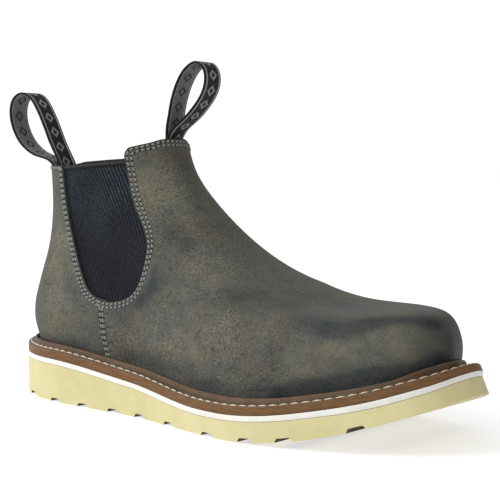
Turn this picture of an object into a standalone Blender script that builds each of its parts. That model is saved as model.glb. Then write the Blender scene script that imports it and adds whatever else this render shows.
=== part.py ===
"""Right-foot pull-on work boot: a hollow leather upper with elastic side gores on a welted wedge sole.

Everything is drawn in the last's own frame, in metres: the heel's back edge near x = 0, the toe
towards +X, the inner side of the foot towards +Y and the floor at z = 0. The parent empty then
moves the boot so that the origin is at the middle of its footprint, on the floor.
"""

import bmesh
import bpy
import numpy as np

# Sole: outline in plan, heights along the foot
TOE_X = 0.305
OUTLINE = [
    # place, x, y
    ("heel back", 0.0040, -0.0010),
    ("heel corner outer side", 0.0125, -0.0225),
    ("heel outer side", 0.0400, -0.0438),
    ("waist outer side", 0.1250, -0.0499),
    ("ball outer side", 0.2000, -0.0609),
    ("toe outer side", 0.2696, -0.0446),
    ("toe corner outer side", 0.2939, -0.0284),
    ("toe tip", TOE_X, 0.0025),
    ("toe corner inner side", 0.2960, 0.0245),
    ("toe inner side", 0.2740, 0.0455),
    ("ball inner side", 0.2250, 0.0520),
    ("waist inner side", 0.1300, 0.0350),
    ("heel inner side", 0.0400, 0.0390),
    ("heel corner inner side", 0.0125, 0.0215),
]
SPRING_START = 0.1910
SPRING_HEIGHT = 0.0270
SPRING_POWER = 2.05
WEDGE = [
    # x, thickness of the outsole
    (0.000, 0.0202),
    (0.060, 0.0207),
    (0.120, 0.0153),
    (0.180, 0.0096),
    (0.240, 0.0102),
    (0.280, 0.0087),
    (0.292, 0.0086),
    (TOE_X, 0.0096),
]
MIDSOLE = [
    # x, thickness of the midsole
    (0.000, 0.0029),
    (0.200, 0.0029),
    (0.250, 0.0031),
    (0.280, 0.0034),
    (TOE_X, 0.0028),
]
FLARE = [
    # x, how far the top edge of the outsole stands in from its bottom edge
    (0.000, 0.0000),
    (0.200, 0.0000),
    (0.240, 0.0008),
    (0.275, 0.0021),
    (TOE_X, 0.0031),
]
OUTSOLE_CHAMFER = 0.0015
WELT_THICK = 0.0056
FIT_GAP = 0.0004

# Tread: grooves across the outsole, at the notches that show along its edge
GROOVES_X = (0.038, 0.064, 0.087, 0.110, 0.131, 0.156, 0.187, 0.212, 0.233, 0.267)
GROOVE_MOUTH = 0.0090
GROOVE_FLOOR = 0.0070
GROOVE_DEPTH = 0.0020
GROOVE_REACH = 0.080

# Welt: distances from the feather line, where the upper meets it, outwards positive
FEATHER = [
    # x, how far the feather line stands in from the outsole's outline
    (0.000, 0.0058),
    (0.060, 0.0080),
    (0.200, 0.0090),
    (0.265, 0.0105),
    (0.290, 0.0128),
    (TOE_X, 0.0167),
]
LEDGE_DROP = [
    # x, how far the welt's ledge falls from the bead to its rim
    (0.000, 0.0003),
    (0.120, 0.0004),
    (0.220, 0.0010),
    (TOE_X, 0.0009),
]
WELT_LEAN = [
    # x, how far the welt's side leans in from its bottom edge to its rim
    (0.000, 0.0000),
    (0.240, 0.0000),
    (0.280, 0.0007),
    (TOE_X, 0.0019),
]
BEAD_FOOT = 0.0031
BEAD_CROWN_OUT = 0.0025
BEAD_CROWN_IN = 0.0016
BEAD_INSIDE = 0.0004
BEAD_HEIGHT = 0.0020
WELT_INNER = -0.0050
INSOLE_EDGE = -0.0053
INSOLE_ABOVE_WELT = 0.0015

# Upper: one row for each section through the last, from the welt to the collar. A section runs
# from a point on the heel line to a point on the crest of toe, vamp and instep. Girth widens the
# feather line, and ankle blends from that outline to the oval of the ankle.
SECTIONS = [
    # name, back_x, back_z, front_x, front_z, girth, ankle
    ("feather", 0.0100, 0.0330, 0.2884, 0.0400, 1.000, 0.00),
    ("low wall", 0.0062, 0.0420, 0.2893, 0.0480, 1.025, 0.00),
    ("toe wall", 0.0052, 0.0490, 0.2876, 0.0560, 1.030, 0.02),
    ("toe shoulder", 0.0058, 0.0550, 0.2822, 0.0640, 1.020, 0.06),
    ("toe top", 0.0074, 0.0610, 0.2680, 0.0673, 0.990, 0.12),
    ("toe box", 0.0095, 0.0670, 0.2390, 0.0663, 0.950, 0.22),
    ("vamp", 0.0123, 0.0740, 0.2058, 0.0698, 0.900, 0.35),
    ("waist", 0.0158, 0.0820, 0.1738, 0.0808, 0.860, 0.50),
    ("instep", 0.0189, 0.0920, 0.1474, 0.0963, 0.840, 0.68),
    ("ankle", 0.0210, 0.1030, 0.1270, 0.1125, 0.860, 0.85),
    ("shaft", 0.0216, 0.1160, 0.1125, 0.1290, 0.880, 0.95),
    ("collar", 0.0205, 0.1310, 0.1060, 0.1470, 0.900, 1.00),
]
COLLAR = [
    # share of the way from heel line to crest, height of the top edge
    (0.00, 0.1310),
    (0.35, 0.1310),
    (0.75, 0.1390),
    (0.87, 0.1423),
    (0.94, 0.1444),
    (1.00, 0.1468),
]
FEATHER_FADE_ROWS = 6.0
COLLAR_FADE_ROWS = 2.0
ANKLE_HALF_WIDTH = 0.0335
ANKLE_CENTRE_BACK = -0.002
ANKLE_CENTRE_FRONT = 0.004
WALL = 0.0024
LAP_STEP = 0.0008
LAP_EDGE = 0.0003
SEAM_X = 0.090
SEAM_Z = 0.057
SEAM_SLOPE = -0.20

# Gore: the cut-out's edge seen from the side, from the back of the collar round to the front
GORE_EDGE = [
    # place, x, z
    ("top back", 0.0502, 0.1318),
    ("back", 0.0534, 0.1109),
    ("back low", 0.0611, 0.0867),
    ("lower back", 0.0702, 0.0714),
    ("bottom back", 0.0835, 0.0611),
    ("bottom", 0.0998, 0.0583),
    ("bottom front", 0.1144, 0.0638),
    ("front low", 0.1214, 0.0764),
    ("front bulge", 0.1202, 0.0877),
    ("front", 0.1088, 0.1044),
    ("front high", 0.0986, 0.1194),
    ("top front", 0.0925, 0.1345),
]
VAMP_CORNER = [
    # place, x, z, of the rounded corner above the gore
    ("corner", 0.0918, 0.1378),
    ("corner round", 0.0927, 0.1411),
    ("corner exit", 0.0965, 0.1446),
]
CUTTER_TOP = 0.170
CUTTER_NEAR = 0.008
CUTTER_FAR = 0.080
GORE_LAP = 0.0065
GORE_THICK = 0.0015
GORE_GAP = 0.0012

# Pull loops: the webbing's middle line seen from the side, from one sewn end to the other
WEBBING_WIDTH = 0.0175
WEBBING_THICK = 0.0012
FRONT_LOOP_Y = 0.0105
FRONT_LOOP_TURN = 0.0021
FRONT_LOOP_BOW = -0.0016
FRONT_LOOP_SEWN = (0.146, 0.160)
FRONT_LOOP = [
    # place, x, z
    ("front end", 0.1048, 0.1330),
    ("front bend", 0.1012, 0.1450),
    ("front lip", 0.1034, 0.1497),
    ("front low", 0.1107, 0.1556),
    ("front middle", 0.1192, 0.1628),
    ("front high", 0.1251, 0.1694),
    ("front top", 0.1287, 0.1790),
    ("crown front", 0.1267, 0.1862),
    ("crown", 0.1212, 0.1898),
    ("crown back", 0.1150, 0.1885),
    ("rear top", 0.1102, 0.1851),
    ("rear high", 0.1052, 0.1785),
    ("rear middle", 0.1015, 0.1705),
    ("rear low", 0.0990, 0.1612),
    ("rear lip", 0.0980, 0.1530),
    ("rear bend", 0.0988, 0.1450),
    ("rear end", 0.1024, 0.1330),
]
BACK_LOOP_Y = -0.010
BACK_LOOP_TURN = 0.0026
BACK_LOOP_BOW = 0.0018
BACK_LOOP_SEWN = (0.131, 0.145)
BACK_LOOP = [
    # place, x, z
    ("outer end", 0.0275, 0.1180),
    ("outer bend", 0.0269, 0.1300),
    ("outer lip", 0.0222, 0.1346),
    ("outer low", 0.0095, 0.1380),
    ("outer middle", -0.0004, 0.1432),
    ("outer high", -0.0060, 0.1490),
    ("back low", -0.0096, 0.1557),
    ("back", -0.0108, 0.1625),
    ("crown back", -0.0088, 0.1688),
    ("crown", -0.0025, 0.1721),
    ("crown front", 0.0040, 0.1704),
    ("inner top", 0.0082, 0.1665),
    ("inner high", 0.0122, 0.1610),
    ("inner middle", 0.0164, 0.1540),
    ("inner low", 0.0206, 0.1462),
    ("inner lip", 0.0250, 0.1380),
    ("inner bend", 0.0292, 0.1300),
    ("inner end", 0.0299, 0.1180),
]

# Facets
HALF_COLUMNS = 28
SEAM_COLUMNS = 10
UPPER_RINGS = 20
OUTLINE_SAMPLES = 600
WALL_SAMPLES = 160
GORE_ROWS = 14
GORE_COLUMNS = 8
CUTTER_POINTS = 56
LOOP_POINTS = 44
WEBBING_COLUMNS = 4
SHARP_ANGLE = np.radians(35)

FINISHES = {
    # finish: base colour, roughness
    "waxed_leather": ((0.105, 0.098, 0.080), 0.62),
    "ribbed_elastic": ((0.012, 0.014, 0.019), 0.85),
    "welt_leather": ((0.150, 0.075, 0.042), 0.55),
    "white_foam": ((0.800, 0.790, 0.760), 0.60),
    "cream_crepe": ((0.760, 0.680, 0.400), 0.65),
    "webbing": ((0.015, 0.016, 0.019), 0.80),
    "footbed": ((0.110, 0.095, 0.075), 0.85),
}


def clear_scene():
    for item in list(bpy.data.objects):
        bpy.data.objects.remove(item, do_unlink=True)


def finish(name):
    """The material of this name, made the first time it is asked for."""
    material = bpy.data.materials.get(name)
    if material is None:
        colour, roughness = FINISHES[name]
        material = bpy.data.materials.new(name)
        material.use_nodes = True
        shader = material.node_tree.nodes["Principled BSDF"]
        shader.inputs["Base Color"].default_value = (*colour, 1.0)
        shader.inputs["Roughness"].default_value = roughness
        shader.inputs["Metallic"].default_value = 0.0
    return material


def places(rows):
    """The two coordinates of a table whose rows start with a place's name."""
    return np.array([row[1:] for row in rows])


def eased(rows, at):
    """A smooth curve through a table's rows that never swings past them, held level outside."""
    knots, values = np.array(rows).T
    steps = np.diff(knots)
    rises = np.diff(values) / steps
    slopes = np.zeros(len(knots))
    for i in range(1, len(knots) - 1):
        if rises[i - 1] * rises[i] > 0:
            slopes[i] = 2 * rises[i - 1] * rises[i] / (rises[i - 1] + rises[i])
    at = np.clip(at, knots[0], knots[-1])
    i = np.clip(np.searchsorted(knots, at) - 1, 0, len(steps) - 1)
    t = (at - knots[i]) / steps[i]
    near = (1 + 2 * t) * (1 - t) ** 2 * values[i] + t * (1 - t) ** 2 * steps[i] * slopes[i]
    far = t * t * (3 - 2 * t) * values[i + 1] + t * t * (t - 1) * steps[i] * slopes[i + 1]
    return near + far


def spline(points, knots, at, closed=False):
    """A cubic spline through points at the knots; closed runs on from the last point to the first."""
    points = np.asarray(points, float)
    count = len(points)
    steps = np.diff(knots)
    system = np.eye(count)
    bends = np.zeros_like(points)
    for i in range(0 if closed else 1, count if closed else count - 1):
        before, after = steps[i - 1], steps[i]
        ahead = (i + 1) % count
        system[i] = 0
        system[i, i - 1] += before
        system[i, i] += 2 * (before + after)
        system[i, ahead] += after
        bends[i] = 6 * ((points[ahead] - points[i]) / after - (points[i] - points[i - 1]) / before)
    bends = np.linalg.solve(system, bends)
    i = np.clip(np.searchsorted(knots, at, side="right") - 1, 0, len(steps) - 1)
    ahead = (i + 1) % count
    step = steps[i][:, None]
    b = (at - knots[i])[:, None] / step
    a = 1 - b
    curve = a * points[i] + b * points[ahead]
    return curve + ((a**3 - a) * bends[i] + (b**3 - b) * bends[ahead]) * step**2 / 6


def curve_through(points, count, closed=False):
    """Points evenly spaced along a smooth curve, with knots at the chords' lengths."""
    ends = np.vstack([points, points[:1]]) if closed else points
    chords = np.linalg.norm(np.diff(ends, axis=0), axis=1)
    knots = np.concatenate([[0], np.cumsum(chords)])
    at = np.linspace(0, knots[-1], count, endpoint=not closed)
    return spline(points, knots, at, closed)


def side_halves(outline):
    """The outer and inner sides of a plan outline, each from heel to toe, as x and y columns."""
    heel = np.argmin(outline[:, 0])
    turned = np.roll(outline, -heel, axis=0)
    toe = np.argmax(turned[:, 0])
    first = turned[: toe + 1]
    second = np.vstack([turned[toe:], turned[:1]])[::-1]
    return (first, second) if first[:, 1].mean() < second[:, 1].mean() else (second, first)


def plan_loop(outline):
    """An outline as paired columns: the outer side from heel to toe, then the inner side back."""
    turn = (1 - np.cos(np.linspace(0, np.pi, HALF_COLUMNS + 1))) / 2
    rows = []
    for half in side_halves(outline):
        x = half[0, 0] + turn * (half[-1, 0] - half[0, 0])
        rows.append(np.column_stack([x, np.interp(x, half[:, 0], half[:, 1])]))
    outer, inner = rows
    return np.vstack([outer, inner[-2:0:-1]])


def set_in(outline, distance):
    """The outline moved inwards by a distance, which may differ from point to point."""
    along = np.roll(outline, -1, axis=0) - np.roll(outline, 1, axis=0)
    along /= np.linalg.norm(along, axis=1)[:, None]
    inward = np.column_stack([-along[:, 1], along[:, 0]])
    return outline + inward * np.reshape(distance, (-1, 1))


def spring(x):
    ahead = np.clip((x - SPRING_START) / (TOE_X - SPRING_START), 0, None)
    return SPRING_HEIGHT * ahead**SPRING_POWER


def outsole_top(x):
    return spring(x) + eased(WEDGE, x)


def midsole_top(x):
    return outsole_top(x) + eased(MIDSOLE, x)


def welt_top(x):
    return midsole_top(x) + WELT_THICK


def welt_rim(x):
    return welt_top(x) - eased(LEDGE_DROP, x)


def at_height(outline, height, extra=0.0):
    """A plan outline lifted to a height that follows the foot."""
    return np.column_stack([outline, height(outline[:, 0]) + extra])


FINE_OUTLINE = curve_through(places(OUTLINE), OUTLINE_SAMPLES, closed=True)
FINE_FEATHER = set_in(FINE_OUTLINE, eased(FEATHER, FINE_OUTLINE[:, 0]))
FEATHER_SIDES = side_halves(FINE_FEATHER)
SOLE_EDGE = plan_loop(FINE_OUTLINE)
RIM_EDGE = set_in(SOLE_EDGE, eased(FLARE, SOLE_EDGE[:, 0]))
WELT_EDGE = set_in(RIM_EDGE, eased(WELT_LEAN, RIM_EDGE[:, 0]))
FEATHER_EDGE = plan_loop(FINE_FEATHER)


def sections_at(rows):
    """Columns of the section table at places in it: back and front points, girth and ankle share."""
    values = np.array([section[1:] for section in SECTIONS])
    return spline(values, np.arange(len(values)), np.atleast_1d(rows)).T


def upper_points(rows, share, side):
    """Points of the last at shares of the way from the heel line to the crest, on one side."""
    rows = np.asarray(rows, float)
    back_x, back_z, front_x, front_z, girth, ankle = sections_at(rows)
    foot = FEATHER_SIDES[0 if side < 0 else 1]
    foot_x = foot[0, 0] + share * (foot[-1, 0] - foot[0, 0])
    foot_y = np.interp(foot_x, foot[:, 0], foot[:, 1])
    centre = ANKLE_CENTRE_BACK + share * (ANKLE_CENTRE_FRONT - ANKLE_CENTRE_BACK)
    oval_y = centre + side * ANKLE_HALF_WIDTH * np.sqrt(np.clip(1 - (2 * share - 1) ** 2, 0, 1))
    x = back_x + share * (front_x - back_x)
    y = (1 - ankle) * girth * foot_y + ankle * oval_y
    z = back_z + share * (front_z - back_z)
    first, last = SECTIONS[0], SECTIONS[-1]
    near_welt = np.clip(1 - rows / FEATHER_FADE_ROWS, 0, 1)
    z = z + near_welt * (welt_top(x) + FIT_GAP - first[2] - share * (first[4] - first[2]))
    near_collar = np.clip(1 - (len(SECTIONS) - 1 - rows) / COLLAR_FADE_ROWS, 0, 1) ** 2
    z = z + near_collar * (eased(COLLAR, share) - last[2] - share * (last[4] - last[2]))
    return np.column_stack([x, y, z])


def seam_x(z):
    """Where the front piece's edge crosses a height, seen from the side."""
    return SEAM_X + SEAM_SLOPE * (z - SEAM_Z)


def seam_share(row):
    """The share at which this section crosses the lapped seam, on the outer side."""
    shares = np.linspace(0, 1, WALL_SAMPLES)
    points = upper_points(row, shares, -1)
    return np.interp(0, points[:, 0] - seam_x(points[:, 2]), shares)


def column_shares(row):
    """Shares for one section's columns, with a pair of columns at the step of the seam."""
    back_x, _, front_x = sections_at(row)[:3, 0]
    seam = seam_share(row)
    step = LAP_EDGE / (front_x - back_x)
    back = (seam - step) * (1 - np.cos(np.linspace(0, np.pi / 2, SEAM_COLUMNS)))
    ahead = np.sin(np.linspace(0, np.pi / 2, HALF_COLUMNS - SEAM_COLUMNS + 1))
    return np.concatenate([back, seam + step + (1 - seam - step) * ahead])


def upper_ring(row):
    """One closed section of the last: the outer side from heel to crest, then the inner side back."""
    shares = column_shares(row)
    outer = upper_points(row, shares, -1)
    inner = upper_points(row, shares, 1)
    return np.vstack([outer, inner[-2:0:-1]])


def surface_normals(grid):
    """Outward normals of a grid of rings, by differences along and across it."""
    along = np.roll(grid, -1, axis=1) - np.roll(grid, 1, axis=1)
    up = np.gradient(grid, axis=0)
    normal = np.cross(along, up)
    return normal / np.linalg.norm(normal, axis=2, keepdims=True)


def wall_y(x, z, side):
    """The last's half width at a point seen from the side."""
    rows = np.linspace(0, len(SECTIONS) - 1, WALL_SAMPLES)
    back_x, _, front_x = sections_at(rows)[:3]
    share = np.clip((x - back_x) / (front_x - back_x), 0, 1)
    points = upper_points(rows, share, side)
    return np.interp(z, points[:, 2], points[:, 1])


def wall_point(x, z, side, depth):
    """A point this far inside the last's surface, below a place seen from the side."""
    reach = 0.001
    y = wall_y(x, z, side)
    lean_x = (wall_y(x + reach, z, side) - wall_y(x - reach, z, side)) / (2 * reach)
    lean_z = (wall_y(x, z + reach, side) - wall_y(x, z - reach, side)) / (2 * reach)
    normal = np.array([-lean_x, 1.0, -lean_z]) * side
    normal /= np.linalg.norm(normal)
    return np.array([x, y, z]) - depth * normal


def add_object(name, mesh, material, parent):
    """A closed mesh as a named object with smooth faces and sharp creases."""
    bmesh.ops.recalc_face_normals(mesh, faces=mesh.faces)
    data = bpy.data.meshes.new(name)
    mesh.to_mesh(data)
    mesh.free()
    data.shade_smooth()
    data.set_sharp_from_angle(angle=SHARP_ANGLE)
    item = bpy.data.objects.new(name, data)
    bpy.context.collection.objects.link(item)
    item.parent = parent
    if material:
        data.materials.append(finish(material))
    return item


def cap(mesh, row, tips):
    """Closes a loop by a ladder of faces; tips says that its first and middle points stand alone."""
    count = len(row)
    shift = 0 if tips else 1
    for i in range(count // 2 - shift):
        corners = [row[i], row[i + 1], row[count - i - 1 - shift], row[(count - i - shift) % count]]
        mesh.faces.new(list(dict.fromkeys(corners)))


def skin(mesh, loops, ring=False, tips=True):
    """Faces through the loops in turn. A ring runs on to the first loop; otherwise the ends are capped."""
    rows = [[mesh.verts.new(point) for point in loop] for loop in loops]
    pairs = list(zip(rows, rows[1:]))
    if ring:
        pairs.append((rows[-1], rows[0]))
    for low, high in pairs:
        for i in range(len(low)):
            j = (i + 1) % len(low)
            mesh.faces.new((low[i], low[j], high[j], high[i]))
    if not ring:
        cap(mesh, rows[0], tips)
        cap(mesh, rows[-1], tips)


def add_skin(name, loops, material, parent, ring=False, tips=True):
    mesh = bmesh.new()
    skin(mesh, loops, ring, tips)
    return add_object(name, mesh, material, parent)


def cut(item, cutter):
    """Takes the cutter out of an object and hides the cutter."""
    cutter.hide_render = True
    cutter.display_type = "WIRE"
    modifier = item.modifiers.new("cut_" + cutter.name, "BOOLEAN")
    modifier.operation = "DIFFERENCE"
    modifier.solver = "EXACT"
    modifier.object = cutter


def make_outsole(parent):
    """The wedge: a chamfered floor edge, a side that leans in at the toe, and grooves underneath."""
    floor_edge = set_in(SOLE_EDGE, OUTSOLE_CHAMFER)
    loops = [
        at_height(floor_edge, spring),
        at_height(SOLE_EDGE, spring, OUTSOLE_CHAMFER),
        at_height(RIM_EDGE, outsole_top),
    ]
    outsole = add_skin("outsole", loops, "cream_crepe", parent)
    mesh = bmesh.new()
    profile = [
        # along the sole, below it
        (-GROOVE_MOUTH / 2 - GROOVE_DEPTH / 2, GROOVE_DEPTH),
        (GROOVE_MOUTH / 2 + GROOVE_DEPTH / 2, GROOVE_DEPTH),
        (GROOVE_FLOOR / 2, -GROOVE_DEPTH),
        (-GROOVE_FLOOR / 2, -GROOVE_DEPTH),
    ]
    for x in GROOVES_X:
        tilt = np.arctan2(spring(x + GROOVE_MOUTH) - spring(x - GROOVE_MOUTH), 2 * GROOVE_MOUTH)
        ends = []
        for y in (-GROOVE_REACH, GROOVE_REACH):
            end = []
            for along, below in profile:
                px = x + along * np.cos(tilt) + below * np.sin(tilt)
                pz = spring(x) + along * np.sin(tilt) - below * np.cos(tilt)
                end.append((px, y, pz))
            ends.append(end)
        skin(mesh, ends, tips=False)
    cut(outsole, add_object("tread_cutter", mesh, None, parent))


def make_midsole(parent):
    loops = [
        at_height(RIM_EDGE, outsole_top, FIT_GAP),
        at_height(RIM_EDGE, midsole_top),
    ]
    add_skin("midsole", loops, "white_foam", parent)


def make_welt(parent):
    """A ring with a trimmed side, a sloping ledge, a raised bead and a lip under the upper's wall."""
    loops = [
        at_height(RIM_EDGE, midsole_top, FIT_GAP),
        at_height(WELT_EDGE, welt_rim),
        at_height(set_in(FEATHER_EDGE, -BEAD_FOOT), welt_top),
        at_height(set_in(FEATHER_EDGE, -BEAD_CROWN_OUT), welt_top, BEAD_HEIGHT),
        at_height(set_in(FEATHER_EDGE, -BEAD_CROWN_IN), welt_top, BEAD_HEIGHT),
        at_height(set_in(FEATHER_EDGE, -BEAD_INSIDE), welt_top),
        at_height(set_in(FEATHER_EDGE, -WELT_INNER), welt_top),
        at_height(set_in(FEATHER_EDGE, -WELT_INNER), midsole_top, FIT_GAP),
    ]
    add_skin("welt", loops, "welt_leather", parent, ring=True)


def make_insole(parent):
    edge = set_in(FEATHER_EDGE, -INSOLE_EDGE)
    loops = [
        at_height(edge, midsole_top, FIT_GAP),
        at_height(edge, welt_top, INSOLE_ABOVE_WELT),
    ]
    add_skin("insole", loops, "footbed", parent)


def gore_edge(grown=0.0, points=CUTTER_POINTS, rows=GORE_EDGE):
    """The cut-out's edge as a smooth curve seen from the side, grown outwards by a margin."""
    edge = curve_through(places(rows), points)
    along = np.gradient(edge, axis=0)
    along /= np.linalg.norm(along, axis=1)[:, None]
    outward = np.column_stack([along[:, 1], -along[:, 0]])
    return edge + grown * outward


def gore_cutter(side, parent):
    """A prism through one side of the upper, U-shaped below and open above the collar."""
    edge = gore_edge(rows=GORE_EDGE + VAMP_CORNER)
    top = [(edge[-1, 0], CUTTER_TOP), (edge[0, 0], CUTTER_TOP)]
    outline = np.vstack([edge, top])
    mesh = bmesh.new()
    ends = []
    for reach in (CUTTER_NEAR, CUTTER_FAR):
        ends.append([mesh.verts.new((x, side * reach, z)) for x, z in outline])
    near, far = ends
    mesh.faces.new(near)
    mesh.faces.new(far)
    for i in range(len(near)):
        j = (i + 1) % len(near)
        mesh.faces.new((near[i], near[j], far[j], far[i]))
    name = "gore_cutter_outer" if side < 0 else "gore_cutter_inner"
    return add_object(name, mesh, None, parent)


def make_upper(parent):
    """The leather: outer rings up, inner rings down, the back piece a step lower than the front."""
    rows = np.linspace(0, len(SECTIONS) - 1, UPPER_RINGS)
    grid = np.array([upper_ring(row) for row in rows])
    normals = surface_normals(grid)
    columns = np.arange(grid.shape[1])
    behind = np.minimum(columns, grid.shape[1] - columns) < SEAM_COLUMNS
    outer = grid - normals * np.where(behind, LAP_STEP, 0.0)[:, None]
    inner = grid - normals * WALL
    outer[0, :, 2] = grid[0, :, 2]
    inner[0, :, 2] = grid[0, :, 2]
    upper = add_skin("upper", [*outer, *inner[::-1]], "waxed_leather", parent, ring=True)
    for side in (-1, 1):
        cut(upper, gore_cutter(side, parent))


def make_gore(name, side, parent):
    """An elastic panel behind the cut-out, lapped past its edge, rounded like it below."""
    edge = gore_edge(GORE_LAP, 2 * GORE_ROWS)
    loops = []
    for i in range(GORE_ROWS):
        back, front = edge[GORE_ROWS - 1 - i], edge[GORE_ROWS + i]
        across = [back + t * (front - back) for t in np.linspace(0, 1, GORE_COLUMNS)]
        face = [wall_point(x, z, side, WALL + GORE_GAP) for x, z in across]
        lining = [wall_point(x, z, side, WALL + GORE_GAP + GORE_THICK) for x, z in across]
        loops.append(face + lining[::-1])
    add_skin(name, loops, "ribbed_elastic", parent, tips=False)


def make_pull_loop(name, rows, centre_y, turn, bow, sewn, parent):
    """Webbing along a middle line, turned and, where it is sewn, bowed to follow the collar's curve."""
    path = curve_through(places(rows), LOOP_POINTS)
    along = np.gradient(path, axis=0)
    along /= np.linalg.norm(along, axis=1)[:, None]
    across = np.column_stack([-along[:, 1], along[:, 0]]) * WEBBING_THICK / 2
    offsets = np.linspace(-1, 1, WEBBING_COLUMNS + 1)
    loops = []
    for (x, z), (dx, dz) in zip(path, across):
        held = np.clip((sewn[1] - z) / (sewn[1] - sewn[0]), 0, 1)
        face = []
        back = []
        for offset in offsets:
            y = centre_y + offset * WEBBING_WIDTH / 2
            curve = bow * held * offset**2 - turn * offset
            face.append((x + dx + curve, y, z + dz))
            back.append((x - dx + curve, y, z - dz))
        loops.append(face + back[::-1])
    add_skin(name, loops, "webbing", parent, tips=False)


def stand_on_origin(parent):
    """Moves the boot so that the middle of its footprint is at the origin, on the floor."""
    bpy.context.view_layer.update()
    corners = []
    for item in parent.children:
        if not item.hide_render:
            corners += [item.matrix_world @ vertex.co for vertex in item.data.vertices]
    corners = np.array(corners)
    middle = (corners.min(axis=0) + corners.max(axis=0)) / 2
    parent.location = (-middle[0], -middle[1], -corners[:, 2].min())


def main():
    clear_scene()
    boot = bpy.data.objects.new("boot", None)
    bpy.context.collection.objects.link(boot)
    make_outsole(boot)
    make_midsole(boot)
    make_welt(boot)
    make_insole(boot)
    make_upper(boot)
    make_gore("gore_lateral", -1, boot)
    make_gore("gore_medial", 1, boot)
    make_pull_loop(
        "pull_loop_front", FRONT_LOOP, FRONT_LOOP_Y, FRONT_LOOP_TURN, FRONT_LOOP_BOW, FRONT_LOOP_SEWN, boot
    )
    make_pull_loop(
        "pull_loop_back", BACK_LOOP, BACK_LOOP_Y, BACK_LOOP_TURN, BACK_LOOP_BOW, BACK_LOOP_SEWN, boot
    )
    stand_on_origin(boot)


main()
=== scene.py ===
import bpy
import numpy as np
from mathutils import Matrix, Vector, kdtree


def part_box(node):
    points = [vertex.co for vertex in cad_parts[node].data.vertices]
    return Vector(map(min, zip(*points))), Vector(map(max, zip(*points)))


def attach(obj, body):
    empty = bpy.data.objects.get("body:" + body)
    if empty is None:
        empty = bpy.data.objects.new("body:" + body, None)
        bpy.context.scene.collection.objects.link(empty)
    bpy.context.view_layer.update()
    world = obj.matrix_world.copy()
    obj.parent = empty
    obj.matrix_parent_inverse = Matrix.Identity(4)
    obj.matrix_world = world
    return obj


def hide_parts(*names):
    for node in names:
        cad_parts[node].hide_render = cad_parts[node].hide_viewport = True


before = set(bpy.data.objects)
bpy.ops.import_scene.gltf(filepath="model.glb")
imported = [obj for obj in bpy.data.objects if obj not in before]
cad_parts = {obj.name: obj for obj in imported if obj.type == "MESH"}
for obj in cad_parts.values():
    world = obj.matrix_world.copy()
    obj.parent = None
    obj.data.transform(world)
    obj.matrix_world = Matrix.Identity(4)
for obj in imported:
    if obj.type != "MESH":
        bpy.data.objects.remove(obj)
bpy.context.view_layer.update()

# Sole and welt, as in the part's source, in the last's own frame: metres, heel near x = 0, toe towards +X
TOE_X = 0.305
OUTLINE = [
    # x, y, from the heel's back along the outer side to the toe and back along the inner side
    (0.0040, -0.0010),
    (0.0125, -0.0225),
    (0.0400, -0.0438),
    (0.1250, -0.0499),
    (0.2000, -0.0609),
    (0.2696, -0.0446),
    (0.2939, -0.0284),
    (TOE_X, 0.0025),
    (0.2960, 0.0245),
    (0.2740, 0.0455),
    (0.2250, 0.0520),
    (0.1300, 0.0350),
    (0.0400, 0.0390),
    (0.0125, 0.0215),
]
SPRING_START = 0.1910
SPRING_HEIGHT = 0.0270
SPRING_POWER = 2.05
WEDGE = [(0.000, 0.0202), (0.060, 0.0207), (0.120, 0.0153), (0.180, 0.0096), (0.240, 0.0102),
         (0.280, 0.0087), (0.292, 0.0086), (TOE_X, 0.0096)]
MIDSOLE = [(0.000, 0.0029), (0.200, 0.0029), (0.250, 0.0031), (0.280, 0.0034), (TOE_X, 0.0028)]
LEDGE_DROP = [(0.000, 0.0003), (0.120, 0.0004), (0.220, 0.0010), (TOE_X, 0.0009)]
FLARE = [(0.000, 0.0000), (0.200, 0.0000), (0.240, 0.0008), (0.275, 0.0021), (TOE_X, 0.0031)]
WELT_LEAN = [(0.000, 0.0000), (0.240, 0.0000), (0.280, 0.0007), (TOE_X, 0.0019)]
FEATHER = [(0.000, 0.0058), (0.060, 0.0080), (0.200, 0.0090), (0.265, 0.0105), (0.290, 0.0128),
           (TOE_X, 0.0167)]
WELT_THICK = 0.0056
FIT_GAP = 0.0004
GROOVES_X = (0.038, 0.064, 0.087, 0.110, 0.131, 0.156, 0.187, 0.212, 0.233, 0.267)
GROOVE_MOUTH = 0.0090
GROOVE_FLOOR = 0.0070
GROOVE_DEPTH = 0.0020
GROOVE_REACH = 0.080
INSOLE_EDGE = 0.0053
INSOLE_ABOVE_WELT = 0.0015

# Last, as in the part's source: sections from the welt to the collar
SECTIONS = [
    # back_x, back_z, front_x, front_z, girth, ankle
    (0.0100, 0.0330, 0.2884, 0.0400, 1.000, 0.00),
    (0.0062, 0.0420, 0.2893, 0.0480, 1.025, 0.00),
    (0.0052, 0.0490, 0.2876, 0.0560, 1.030, 0.02),
    (0.0058, 0.0550, 0.2822, 0.0640, 1.020, 0.06),
    (0.0074, 0.0610, 0.2680, 0.0673, 0.990, 0.12),
    (0.0095, 0.0670, 0.2390, 0.0663, 0.950, 0.22),
    (0.0123, 0.0740, 0.2058, 0.0698, 0.900, 0.35),
    (0.0158, 0.0820, 0.1738, 0.0808, 0.860, 0.50),
    (0.0189, 0.0920, 0.1474, 0.0963, 0.840, 0.68),
    (0.0210, 0.1030, 0.1270, 0.1125, 0.860, 0.85),
    (0.0216, 0.1160, 0.1125, 0.1290, 0.880, 0.95),
    (0.0205, 0.1310, 0.1060, 0.1470, 0.900, 1.00),
]
TOP_ROW = len(SECTIONS) - 1
COLLAR = [(0.00, 0.1310), (0.35, 0.1310), (0.75, 0.1390), (0.87, 0.1423), (0.94, 0.1444), (1.00, 0.1468)]
FEATHER_FADE_ROWS = 6.0
COLLAR_FADE_ROWS = 2.0
ANKLE_HALF_WIDTH = 0.0335
ANKLE_CENTRE_BACK = -0.002
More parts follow.
